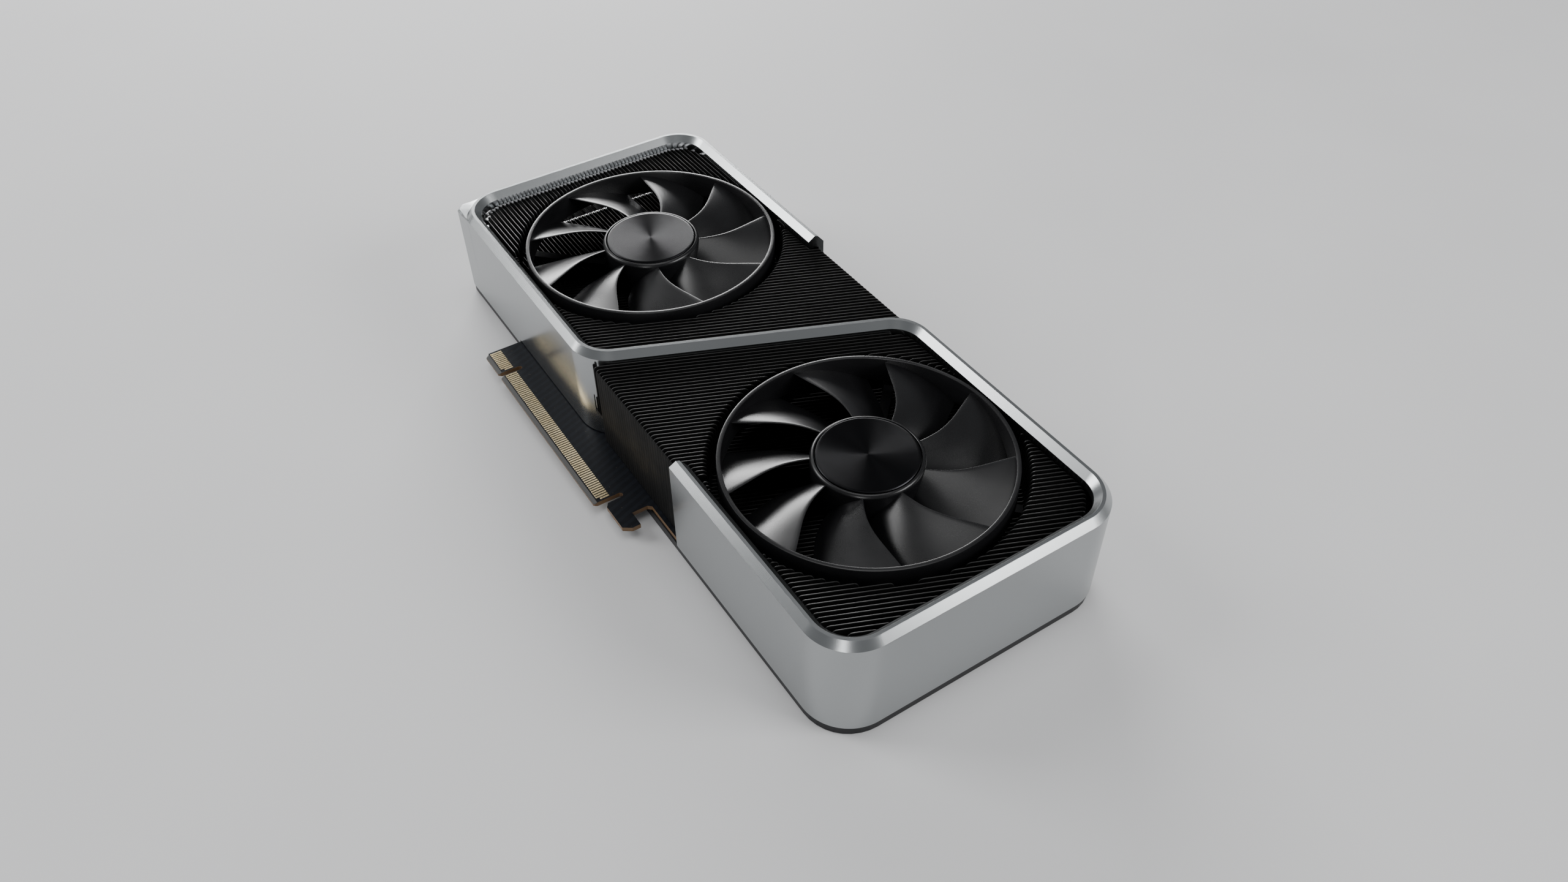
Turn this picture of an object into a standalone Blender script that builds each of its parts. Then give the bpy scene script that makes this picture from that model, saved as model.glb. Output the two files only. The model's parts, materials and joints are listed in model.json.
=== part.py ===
"""Two-fan graphics card, lying on its back plate with both fans facing up.

Plan positions are given in card millimetres: x runs from the connector end to the far end, y from the
slot-contact side to the top side, z up from the back plate. The finished card is centred on x and y.
"""

from math import atan2, cos, pi, radians, sin

import bmesh
import bpy
from mathutils import Matrix, Vector

MM = 0.001
GAP = 0.3

# Overall body
CARD_LENGTH = 242.0
BODY_WIDTH = 98.7
CARD_HEIGHT = 38.9
TONGUE_REACH = 13.9
CENTRE = Vector((CARD_LENGTH / 2, (BODY_WIDTH - TONGUE_REACH) / 2, 0.0))

# Frame: a bar with a narrow flat top between two slopes, and a thin wall hanging from its outer side
BAR_HALF = 2.45
LAND_HALF = 0.51
SLOPE_DROP = 2.25
LIP_DROP = 4.9
RIB_DROP = 4.4
WALL = 1.6
CORNER_RADIUS = 12.3
SQUARE_CORNER = 2
SQUARE_CORNER_FILLET = 1.6
SQUARE_STEPS = 10
ROUND_STEPS = 9
FRAME_BOTTOM = 3.2
FRAME_OVER_BOARD = 5.3
CROSSBAR_SLOPE = 0.4298
CROSSBAR_X_AT_ZERO = 102.93
FRAME_END_A_X = 91.0
FRAME_END_B_X = 160.4

# Boards and plates
BACKPLATE_TOP = 2.9
BOARD_BOTTOM = 3.3
BOARD_TOP = 4.87
PORT_LEVEL = 8.7
PORT_DEPTH = 16.0
GPU = (68.0, 47.0)
PIPE_BOTTOM = 10.7

# Fans
FAN_A = (57.3, 49.5)
FAN_B = (186.1, 49.7)
RING_OUTER = 43.2
RING_INNER = 41.8
RING_TOP = 37.2
RING_BOTTOM = 28.6
HUB_RADIUS = 16.7
HUB_TOP = 36.9
HUB_BOTTOM = 26.4
BLADES = 9
BLADE_TOP = 36.0
BLADE_BOTTOM = 27.6
BLADE_THICK = 0.9
BLADE_CHORD = radians(31)
CAP_RADIUS = 15.2
SHAFT_RADIUS = 1.0

# Cooling fins
FIN_TOP = 35.5
FIN_LOW_TOP = 21.8
FIN_BASE_BOTTOM = 14.3
FIN_BASE_TOP = 15.6
FIN_PITCH = 3.06
FIN_THICK = 0.6
FAN_WELL_RADIUS = 46.0

SILVER = ("satin_silver", (0.74, 0.745, 0.75), 0.34, 1.0)
BLACK_METAL = ("black_metal", (0.022, 0.022, 0.024), 0.45, 0.7)
BLACK_PLASTIC = ("black_plastic", (0.02, 0.02, 0.022), 0.5, 0.0)
BOARD_BLACK = ("board_black", (0.012, 0.014, 0.02), 0.42, 0.0)
CHIP_BLACK = ("chip_black", (0.03, 0.03, 0.032), 0.6, 0.0)
GOLD = ("contact_gold", (0.86, 0.62, 0.28), 0.28, 1.0)
COPPER = ("copper", (0.78, 0.42, 0.27), 0.32, 1.0)
STEEL = ("steel", (0.62, 0.62, 0.63), 0.35, 1.0)
NICKEL = ("nickel", (0.68, 0.67, 0.63), 0.3, 1.0)
GREY_CORE = ("inductor_grey", (0.24, 0.24, 0.25), 0.55, 0.0)
SILICON = ("silicon", (0.32, 0.34, 0.38), 0.12, 0.6)


def clear_scene():
    for obj in list(bpy.data.objects):
        bpy.data.objects.remove(obj, do_unlink=True)


def new_material(name, colour, roughness, metallic):
    material = bpy.data.materials.new(name)
    material.use_nodes = True
    shader = material.node_tree.nodes["Principled BSDF"]
    shader.inputs["Base Color"].default_value = (*colour, 1.0)
    shader.inputs["Roughness"].default_value = roughness
    shader.inputs["Metallic"].default_value = metallic
    material.diffuse_color = (*colour, 1.0)
    return material


def to_object(name, bm):
    """An object in card millimetres, ready for joining and cutting."""
    bmesh.ops.recalc_face_normals(bm, faces=bm.faces)
    mesh = bpy.data.meshes.new(name)
    bm.to_mesh(mesh)
    bm.free()
    obj = bpy.data.objects.new(name, mesh)
    bpy.context.scene.collection.objects.link(obj)
    return obj


def finish(obj, look, smooth_angle=None, place=(0.0, 0.0)):
    """Brings a piece to metres over its plan position, with its own material and smooth gentle edges."""
    obj.data.transform(Matrix.Scale(MM, 4))
    obj.location = (Vector((place[0], place[1], 0.0)) - CENTRE) * MM
    name, colour, roughness, metallic = look
    obj.data.materials.clear()
    obj.data.materials.append(new_material(f"{obj.name}_{name}", colour, roughness, metallic))
    if smooth_angle is not None:
        obj.data.shade_smooth()
        obj.data.set_sharp_from_angle(angle=radians(smooth_angle))
    return obj


def combine(obj, other, operation):
    """Joins, cuts or keeps the common part of two solids, and drops the second one."""
    modifier = obj.modifiers.new("combine", "BOOLEAN")
    modifier.operation = operation
    modifier.solver = "EXACT"
    modifier.object = other
    bpy.context.view_layer.update()
    graph = bpy.context.evaluated_depsgraph_get()
    mesh = bpy.data.meshes.new_from_object(obj.evaluated_get(graph))
    obj.modifiers.clear()
    obj.data = mesh
    bpy.data.objects.remove(other, do_unlink=True)
    return obj


def prism(outline, low, high):
    bm = bmesh.new()
    face = bm.faces.new([bm.verts.new((x, y, low)) for x, y in outline])
    grown = bmesh.ops.extrude_face_region(bm, geom=[face])["geom"]
    top = [item for item in grown if isinstance(item, bmesh.types.BMVert)]
    bmesh.ops.translate(bm, vec=Vector((0, 0, high - low)), verts=top)
    return bm


def block(x0, x1, y0, y1, z0, z1):
    return prism([(x0, y0), (x1, y0), (x1, y1), (x0, y1)], z0, z1)


def circle(centre, radius, count, start=0.0):
    turns = [start + 2 * pi * step / count for step in range(count)]
    return [(centre[0] + radius * cos(turn), centre[1] + radius * sin(turn)) for turn in turns]


def turned(profile, count):
    """A closed solid of revolution about the z axis from (radius, height) points."""
    bm = bmesh.new()
    points = [bm.verts.new((radius, 0.0, height)) for radius, height in profile]
    edges = [bm.edges.new((points[i], points[i + 1])) for i in range(len(points) - 1)]
    if profile[0][0] > 0:
        edges.append(bm.edges.new((points[-1], points[0])))
    bmesh.ops.spin(
        bm,
        geom=points + edges,
        cent=(0, 0, 0),
        axis=(0, 0, 1),
        angle=2 * pi,
        steps=count,
        use_merge=True,
    )
    bmesh.ops.remove_doubles(bm, verts=bm.verts, dist=0.0001)
    return bm


def rounded_box(x0, x1, y0, y1, z0, z1, radius, segments=2):
    bm = block(x0, x1, y0, y1, z0, z1)
    upright = [edge for edge in bm.edges if abs(edge.verts[0].co.z - edge.verts[1].co.z) > 1e-6]
    bmesh.ops.bevel(bm, geom=upright, offset=radius, segments=segments, affect="EDGES", profile=0.5)
    return bm


# ---------------------------------------------------------------- frame


def crossbar_x(y):
    return CROSSBAR_X_AT_ZERO + CROSSBAR_SLOPE * y


def frame_corners():
    low = BAR_HALF
    high = BODY_WIDTH - BAR_HALF
    right = CARD_LENGTH - BAR_HALF
    return [
        Vector((FRAME_END_A_X, high)),
        Vector((low, high)),
        Vector((low, low)),
        Vector((crossbar_x(low), low)),
        Vector((crossbar_x(high), high)),
        Vector((right, high)),
        Vector((right, low)),
        Vector((FRAME_END_B_X, low)),
    ]


def square_reach(turn, half_turn):
    """How far out of the corner's arc centre the square outer corner lies, on the ray at this turn."""
    reach = CORNER_RADIUS + BAR_HALF
    straight = reach / cos(min(turn, 2 * half_turn - turn))
    diagonal = (reach * 2**0.5 - SQUARE_CORNER_FILLET) / cos(turn - half_turn)
    return min(straight, diagonal) - CORNER_RADIUS


def corner_stations(before, corner, after, square):
    """Points, side directions and outer reach along one rounded corner of the frame's centre line."""
    incoming = (corner - before).normalized()
    outgoing = (after - corner).normalized()
    turn = incoming.angle(outgoing)
    side = 1 if incoming.x * outgoing.y - incoming.y * outgoing.x > 0 else -1
    start = corner - incoming * CORNER_RADIUS * (sin(turn / 2) / cos(turn / 2))
    centre = start + Vector((-incoming.y, incoming.x)) * side * CORNER_RADIUS
    steps = SQUARE_STEPS if square else ROUND_STEPS
    stations = []
    for step in range(steps + 1):
        part = turn * step / steps
        arm = Matrix.Rotation(side * part, 2) @ (start - centre)
        reach = square_reach(part, turn / 2) if square else BAR_HALF
        stations.append((centre + arm, arm.normalized() * side, reach))
    return stations


def frame_stations():
    """Stations of the S-shaped centre line: point, rightward direction, outer reach, and wall bottoms.

    No wall hangs across the connector end, where the end plate stands.
    """
    corners = frame_corners()
    cut = Vector((CROSSBAR_SLOPE, 1.0))
    no_wall = CARD_HEIGHT - LIP_DROP
    stations = [(corners[0], cut, BAR_HALF - 0.03, (FRAME_BOTTOM, no_wall))]
    for index in range(1, 7):
        square = index == SQUARE_CORNER
        group = corner_stations(corners[index - 1], corners[index], corners[index + 1], square)
        for step, (point, right, reach) in enumerate(group):
            if index > 4:
                bottoms = (no_wall, FRAME_BOTTOM)
            elif index == 4:
                bottoms = (no_wall, FRAME_OVER_BOARD)
            elif square and step < SQUARE_STEPS / 2:
                bottoms = (no_wall, no_wall)
            elif index == 3:
                bottoms = (FRAME_OVER_BOARD, no_wall)
            else:
                bottoms = (FRAME_BOTTOM, no_wall)
            stations.append((point, right, reach, bottoms))
        if index == 2:
            side = Vector((0, 1.0))
            stations.append((Vector((45.2, BAR_HALF)), -side, BAR_HALF, (FRAME_BOTTOM, no_wall)))
            stations.append((Vector((45.6, BAR_HALF)), -side, BAR_HALF, (FRAME_OVER_BOARD, no_wall)))
        if index == 4:
            high = BODY_WIDTH - BAR_HALF
            side = Vector((0, 1.0))
            stations.append((Vector((158.0, high)), -side, BAR_HALF, (no_wall, FRAME_OVER_BOARD)))
            stations.append((Vector((158.4, high)), -side, BAR_HALF, (no_wall, FRAME_BOTTOM)))
    stations.append((corners[7], cut, BAR_HALF - 0.03, (no_wall, FRAME_BOTTOM)))
    return split_steps(stations, no_wall)


def split_steps(stations, no_wall):
    """Adds a station just after each corner where a wall starts or stops, so that its end is upright."""
    result = []
    for place, (point, right, reach, bottoms) in enumerate(stations):
        if result and max(abs(bottoms[0] - result[-1][3][0]), abs(bottoms[1] - result[-1][3][1])) > 8:
            last_point, last_right, last_reach, _ = result[-1]
            ahead = (point - last_point).normalized()
            step = last_point + ahead * 0.4
            result.append((step, last_right, last_reach, (no_wall, no_wall)))
            if bottoms != (no_wall, no_wall):
                result.append((point - ahead * 0.4, right, reach, (no_wall, no_wall)))
        result.append((point, right, reach, bottoms))
    return result


def frame_section(reach, bottoms):
    """The bar's section as (outward, height) points, walls included. Positive is the right-hand side."""
    top = CARD_HEIGHT
    shoulder = top - SLOPE_DROP
    shelf = shoulder - 0.12
    rib = top - RIB_DROP
    inner = BAR_HALF - WALL
    return [
        (-BAR_HALF, shoulder),
        (-LAND_HALF, top),
        (LAND_HALF, top),
        (BAR_HALF, shoulder),
        (reach, shelf),
        (reach, bottoms[0]),
        (inner, bottoms[0]),
        (inner, rib),
        (-inner, rib),
        (-inner, bottoms[1]),
        (-BAR_HALF, bottoms[1]),
    ]


def make_frame():
    bm = bmesh.new()
    rings = []
    for point, right, reach, bottoms in frame_stations():
        ring = []
        for out, height in frame_section(reach, bottoms):
            spot = point + right * out
            ring.append(bm.verts.new((spot.x, spot.y, height)))
        rings.append(ring)
    for ring, following in zip(rings, rings[1:]):
        for i in range(len(ring)):
            j = (i + 1) % len(ring)
            bm.faces.new((ring[i], ring[j], following[j], following[i]))
    bm.faces.new(rings[0])
    bm.faces.new(list(reversed(rings[-1])))
    bmesh.ops.triangulate(bm, faces=bm.faces)
    return to_object("frame", bm)


# ---------------------------------------------------------------- plates and board


def blocks(spans):
    """Several separate boxes in one mesh, for cutting many openings at once."""
    bm = bmesh.new()
    for x0, x1, y0, y1, z0, z1 in spans:
        made = bmesh.ops.create_cube(bm, size=1.0)["verts"]
        bmesh.ops.scale(bm, vec=Vector((x1 - x0, y1 - y0, z1 - z0)), verts=made)
        bmesh.ops.translate(bm, vec=Vector(((x0 + x1) / 2, (y0 + y1) / 2, (z0 + z1) / 2)), verts=made)
    return bm


def make_backplate():
    """The dark back plate, with louvres under the far fan where air leaves through the back."""
    inset = 0.45
    radius = CORNER_RADIUS + BAR_HALF - inset
    far = CARD_LENGTH - inset
    low, high = inset + radius, BODY_WIDTH - inset - radius
    outline = [(inset + 1.2, inset), (inset, inset + 1.2)]
    for centre, start in (((low, high), 180), ((far - radius, high), 90), ((far - radius, low), 0)):
        for step in range(10):
            turn = radians(start - step * 10)
            outline.append((centre[0] + radius * cos(turn), centre[1] + radius * sin(turn)))
    plate = to_object("backplate", prism(outline, 0.0, BACKPLATE_TOP))
    louvres = [(176, 226, 23.0 + row * 7.6, 26.2 + row * 7.6, -1, 4) for row in range(8)]
    return combine(plate, to_object("louvres", blocks(louvres)), "DIFFERENCE")


def board_outline():
    """The board seen from above: contact tongue with its key slot, then the retention hook beside it."""
    tip = -TONGUE_REACH
    return [
        (3.0, 12.0),
        (12.0, 3.0),
        (46.0, 3.0),
        (46.0, tip + 1.4),
        (47.3, tip),
        (57.65, tip),
        (58.15, tip + 0.5),
        (58.15, -6.4),
        (58.5, -5.7),
        (59.7, -5.7),
        (60.05, -6.4),
        (60.05, tip + 0.5),
        (60.55, tip),
        (131.2, tip),
        (131.7, tip + 0.5),
        (131.7, -5.0),
        (132.2, -4.4),
        (133.1, -4.4),
        (133.6, -5.0),
        (133.6, -9.9),
        (135.1, -11.0),
        (145.2, -11.0),
        (147.0, -8.4),
        (147.0, -5.6),
        (141.4, -5.6),
        (141.4, -0.3),
        (142.5, 0.8),
        (158.6, 0.8),
        (158.6, 3.0),
        (170.0, 3.0),
        (170.0, BODY_WIDTH - 3.0),
        (12.0, BODY_WIDTH - 3.0),
        (3.0, BODY_WIDTH - 12.0),
    ]


def make_board():
    board = to_object("circuit_board", prism(board_outline(), BOARD_BOTTOM, BOARD_TOP))
    return finish(board, BOARD_BLACK)


def make_contact_strip(name, first, count):
    """A row of gold contacts at 1 mm spacing, joined at their roots where they meet the board's traces."""
    low = -TONGUE_REACH + 1.7
    root = -8.2
    outline = []
    for index in range(count):
        left = first + index
        start = low + 1.1 if index == count - 1 else low
        outline += [(left, root), (left, start), (left + 0.72, start), (left + 0.72, root)]
    outline += [(first + count - 0.28, root + 0.5), (first, root + 0.5)]
    return finish(to_object(name, prism(outline, BOARD_TOP + 0.1, BOARD_TOP + 0.25)), GOLD)


def port_places():
    """Name, middle along y, half width and half height of the mouth of each video socket."""
    places = [(f"displayport_socket_{index + 1}", 14.5 + 19.5 * index, 8.05, 2.4) for index in range(3)]
    return places + [("hdmi_socket", 73.0, 7.0, 2.3)]


def make_end_plate():
    """The steel plate across the connector end, with a window for each socket and rows of vents above."""
    top = CARD_HEIGHT - LIP_DROP - GAP
    plate = to_object("end_plate", block(0.3, 1.3, 1.9, 83.2, FRAME_BOTTOM, top))
    openings = []
    for _, middle, half, tall in port_places():
        edge = half + 0.9 + GAP
        rise = tall + 0.9 + GAP
        openings.append((-1, 3, middle - edge, middle + edge, PORT_LEVEL - rise, PORT_LEVEL + rise))
    for row in range(17):
        y = 5.4 + row * 4.5
        openings.append((-1, 3, y, y + 2.4, 15.6, 31.4))
    combine(plate, to_object("openings", blocks(openings)), "DIFFERENCE")
    return finish(plate, STEEL)


def make_port(name, middle, half, tall):
    """A video socket: a metal shell with a contact tongue standing back from its mouth."""
    wall = 0.9
    low = PORT_LEVEL - tall - wall
    high = PORT_LEVEL + tall + wall
    port = to_object(name, block(0.3, PORT_DEPTH, middle - half - wall, middle + half + wall, low, high))
    spans = [(-1, PORT_DEPTH - 1.6, middle - half, middle + half, PORT_LEVEL - tall, PORT_LEVEL + tall)]
    combine(port, to_object("mouth", blocks(spans)), "DIFFERENCE")
    side = half - 2.0
    tongue = block(5.4, PORT_DEPTH - 1.0, middle - side, middle + side, PORT_LEVEL - 0.4, PORT_LEVEL + 0.4)
    combine(port, to_object("tongue", tongue), "UNION")
    return finish(port, NICKEL)


def make_power_socket():
    """The twelve-way power socket, opening through the top side between the two halves of the frame."""
    low = BOARD_TOP + GAP
    body = to_object("power_socket", block(106.0, 126.4, 85.6, 97.2, low, low + 7.6))
    holes = []
    for column in range(6):
        for row in range(2):
            x = 107.3 + column * 3.05
            z = low + 0.9 + row * 3.1
            holes.append((x, x + 2.5, 88.6, 99.0, z, z + 2.5))
    combine(body, to_object("ways", blocks(holes)), "DIFFERENCE")
    return finish(body, BLACK_PLASTIC)


def make_side_panel(name, x0, x1, y0, low, high):
    """The dark folded-over ends of the fins, which close the side between the two halves of the frame."""
    return finish(to_object(name, block(x0, x1, y0, y0 + 0.6, low, high)), BLACK_METAL)


# ---------------------------------------------------------------- cooling


def comb(angle, middle, half_length, half_width):
    """Upright fins on a thin base. Fins run at this angle from +x, spaced to both sides of the middle."""
    count = int(half_width // FIN_PITCH)
    outline = [(-half_width, FIN_BASE_BOTTOM), (half_width, FIN_BASE_BOTTOM), (half_width, FIN_BASE_TOP)]
    for step in range(count, -count - 1, -1):
        place = step * FIN_PITCH
        left, right = place - FIN_THICK / 2, place + FIN_THICK / 2
        outline += [(right, FIN_BASE_TOP), (right, FIN_TOP), (left, FIN_TOP), (left, FIN_BASE_TOP)]
    outline.append((-half_width, FIN_BASE_TOP))
    bm = prism(outline, -half_length, half_length)
    stand = Matrix(((0, 0, 1), (1, 0, 0), (0, 1, 0)))
    bmesh.ops.transform(bm, matrix=stand.to_4x4(), verts=bm.verts)
    turn = Matrix.Rotation(angle, 4, "Z")
    bmesh.ops.transform(bm, matrix=Matrix.Translation((*middle, 0)) @ turn, verts=bm.verts)
    return bm


def diagonal_x(y, through):
    """The x on the line through this point that runs with the crossbar."""
    return through[0] + CROSSBAR_SLOPE * (y - through[1])


def band(points, low, high):
    """An upright band between two lines, given as (one side, other side) pairs along its length."""
    outline = [near for near, _ in points] + [far for _, far in reversed(points)]
    return prism([(spot.x, spot.y) for spot in outline], low, high)


def rim_clearance():
    """Room for the whole frame bar, with a small gap all round it."""
    reach = BAR_HALF + GAP
    stations = frame_stations()
    points = [(point - right * reach, point + right * reach) for point, right, _, _ in stations]
    start = Vector((0.8, 0.0))
    points[0] = (points[0][0] + start, points[0][1] + start)
    points[-1] = (points[-1][0] - start, points[-1][1] - start)
    return band(points, CARD_HEIGHT - LIP_DROP - GAP, FIN_TOP + 3)


def corner_wall_clearance(index, side):
    """Room for the frame's wall where it curls inwards at one end of the crossbar."""
    corners = frame_corners()
    group = corner_stations(corners[index - 1], corners[index], corners[index + 1], False)
    points = []
    for point, right, _ in group:
        outward = right * side
        points.append((point + outward * (BAR_HALF - WALL - 0.35), point + outward * (BAR_HALF + 0.35)))
    along = (corners[4] - corners[3]).normalized() * 1.0
    if index == 3:
        points.append((points[-1][0] + along, points[-1][1] + along))
    else:
        points.insert(0, (points[0][0] - along, points[0][1] - along))
    return band(points, 0.0, FIN_TOP + 3)


def make_fin_stack(name, angle, low_outline, high_outline, high_cutters, cutters=()):
    """A comb trimmed to its outline: full height clear of the fans and the frame's rim, low elsewhere."""
    middle = (CARD_LENGTH / 2, BODY_WIDTH / 2)
    stack = to_object(name, comb(angle, middle, 140.0, 130.0))
    envelope = to_object("envelope", prism(high_outline, FIN_BASE_BOTTOM - 1, FIN_TOP + 1))
    low = to_object("low", prism(low_outline, FIN_BASE_BOTTOM - 1, FIN_LOW_TOP))
    for cutter in high_cutters:
        combine(envelope, to_object("cutter", cutter), "DIFFERENCE")
    combine(envelope, low, "UNION")
    for cutter in cutters:
        combine(envelope, to_object("cutter", cutter), "DIFFERENCE")
    combine(stack, envelope, "INTERSECT")
    return stack


def fan_well(place):
    return prism(circle(place, FAN_WELL_RADIUS, 48), FIN_LOW_TOP - 0.5, FIN_TOP + 3)


def make_fin_stacks():
    rim_clear = 2 * BAR_HALF + GAP + 0.05
    high_y = BODY_WIDTH - 3.0
    diagonal = atan2(1.0, CROSSBAR_SLOPE)
    half_gap = 0.2
    corner = CORNER_RADIUS + BAR_HALF

    def split(y, fan, side, inset=0.0):
        return (diagonal_x(y, fan) + side * (half_gap + inset), y)

    bracket_low = [
        (3.2, corner),
        (corner, 3.2),
        split(3.2, FAN_A, -1),
        split(high_y, FAN_A, -1),
        (corner, high_y),
        (3.2, BODY_WIDTH - corner),
    ]
    bracket_high = [
        (rim_clear, corner),
        (rim_clear + 2.6, rim_clear + 2.6),
        (corner, rim_clear),
        split(rim_clear, FAN_A, -1, 0.8),
        split(BODY_WIDTH - rim_clear, FAN_A, -1, 0.8),
        (corner, BODY_WIDTH - rim_clear),
        (rim_clear + 2.6, BODY_WIDTH - rim_clear - 2.6),
        (rim_clear, BODY_WIDTH - corner),
    ]
    stack = make_fin_stack("fin_stack_connector_end", 0.0, bracket_low, bracket_high, [fan_well(FAN_A)])
    finish(stack, BLACK_METAL)

    middle_low = [
        split(3.2, FAN_A, 1),
        split(3.2, FAN_B, -1),
        split(high_y, FAN_B, -1),
        split(high_y, FAN_A, 1),
    ]
    middle_high = [
        split(rim_clear, FAN_A, 1, 0.8),
        (crossbar_x(3.2) - 4.0, rim_clear),
        (crossbar_x(3.2) + 3.6, 3.2),
        (FRAME_END_B_X - 1.6, 3.2),
        (FRAME_END_B_X - 0.8, rim_clear),
        split(rim_clear, FAN_B, -1, 0.8),
        split(BODY_WIDTH - rim_clear, FAN_B, -1, 0.8),
        (crossbar_x(high_y) + 4.0, BODY_WIDTH - rim_clear),
        (crossbar_x(high_y) - 3.6, high_y),
        (FRAME_END_A_X + 2.4, high_y),
        (FRAME_END_A_X + 0.6, BODY_WIDTH - rim_clear),
        split(BODY_WIDTH - rim_clear, FAN_A, 1, 0.8),
    ]
    room = [fan_well(FAN_A), fan_well(FAN_B), rim_clearance()]
    walls = [corner_wall_clearance(3, 1), corner_wall_clearance(4, -1)]
    middle = make_fin_stack("fin_stack_middle", diagonal, middle_low, middle_high, room, walls)
    finish(middle, BLACK_METAL)

    far = CARD_LENGTH
    far_low = [
        split(3.2, FAN_B, 1),
        (far - corner, 3.2),
        (far - 3.2, corner),
        (far - 3.2, BODY_WIDTH - corner),
        (far - corner, high_y),
        split(high_y, FAN_B, 1),
    ]
    far_high = [
        split(rim_clear, FAN_B, 1, 0.8),
        (far - corner, rim_clear),
        (far - rim_clear - 2.6, rim_clear + 2.6),
        (far - rim_clear, corner),
        (far - rim_clear, BODY_WIDTH - corner),
        (far - rim_clear - 2.6, BODY_WIDTH - rim_clear - 2.6),
        (far - corner, BODY_WIDTH - rim_clear),
        split(BODY_WIDTH - rim_clear, FAN_B, 1, 0.8),
    ]
    stack = make_fin_stack("fin_stack_far_end", diagonal, far_low, far_high, [fan_well(FAN_B)])
    finish(stack, BLACK_METAL)


def make_heat_pipe(name, route):
    """A flattened copper tube lying along this route, drawn as one closed bar with rounded edges."""
    right = [(3.4, 0.3), (4.0, 0.9), (4.0, 2.6), (3.4, 3.2)]
    section = right + [(-out, rise) for out, rise in reversed(right)]
    bm = bmesh.new()
    rings = []
    for index, (x, y) in enumerate(route):
        before = Vector(route[max(index - 1, 0)])
        after = Vector(route[min(index + 1, len(route) - 1)])
        ahead = (after - before).normalized()
        across = Vector((-ahead.y, ahead.x))
        ring = []
        for out, rise in section:
            ring.append(bm.verts.new((x + across.x * out, y + across.y * out, PIPE_BOTTOM + rise)))
        rings.append(ring)
    for ring, following in zip(rings, rings[1:]):
        for i in range(len(section)):
            j = (i + 1) % len(section)
            bm.faces.new((ring[i], ring[j], following[j], following[i]))
    bm.faces.new(rings[0])
    bm.faces.new(list(reversed(rings[-1])))
    return finish(to_object(name, bm), COPPER, 40)


def make_cooling():
    make_fin_stacks()
    plate = rounded_box(GPU[0] - 29, GPU[0] + 29, GPU[1] - 29, GPU[1] + 29, 7.8, PIPE_BOTTOM, 3.0)
    finish(to_object("cold_plate", plate), COPPER, 40)
    for index, near in enumerate((GPU[1] - 15.0, GPU[1] - 5.0, GPU[1] + 5.0, GPU[1] + 15.0)):
        spread = (index - 1.5) * 9.0
        route = [(GPU[0] - 27, near), (GPU[0] + 30, near), (GPU[0] + 44, near + spread * 0.35)]
        route += [(GPU[0] + 68, near + spread), (226.0, near + spread)]
        make_heat_pipe(f"heat_pipe_{index + 1}", route)


# ---------------------------------------------------------------- board components


def make_chip(name, x, y, width, depth, height, look, lift=GAP):
    low = BOARD_TOP + lift
    bm = block(x - width / 2, x + width / 2, y - depth / 2, y + depth / 2, low, low + height)
    return finish(to_object(name, bm), look)


def make_board_components():
    x, y = GPU
    make_chip("gpu_package", x, y, 36.0, 36.0, 1.2, CHIP_BLACK)
    make_chip("gpu_die", x, y, 20.0, 17.0, 0.8, SILICON, lift=GAP + 1.2 + GAP)
    spots = [(x - 9, y - 27), (x + 9, y - 27), (x - 9, y + 27), (x + 9, y + 27)]
    spots += [(x - 27, y - 9), (x - 27, y + 9), (x + 27, y - 9), (x + 27, y + 9)]
    for index, (cx, cy) in enumerate(spots):
        upright = index > 3
        width, depth = (12.0, 14.0) if upright else (14.0, 12.0)
        make_chip(f"memory_chip_{index + 1}", cx, cy, width, depth, 1.1, CHIP_BLACK)
    low = BOARD_TOP + GAP
    for index in range(6):
        near = 14.0 + index * 11.0
        inductor = rounded_box(106.0, 113.0, near, near + 7.5, low, low + 4.0, 0.8, 1)
        finish(to_object(f"inductor_{index + 1}", inductor), GREY_CORE)
    for name, cx, cy in (("fan_header_a", 24.0, 91.0), ("fan_header_b", 148.0, 91.0)):
        header = to_object(name, block(cx - 4, cx + 4, cy - 2.5, cy + 2.5, low, BOARD_TOP + 4.6))
        hollow = blocks([(cx - 3.2, cx + 3.2, cy - 1.7, cy + 1.7, BOARD_TOP + 1.6, BOARD_TOP + 6)])
        combine(header, to_object("hollow", hollow), "DIFFERENCE")
        finish(header, BLACK_PLASTIC)


# ---------------------------------------------------------------- fans


def blade_angle(radius):
    """How far the blade's upper edge has swept forward at this radius."""
    return radians(0.69 * (radius - HUB_RADIUS))


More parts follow.
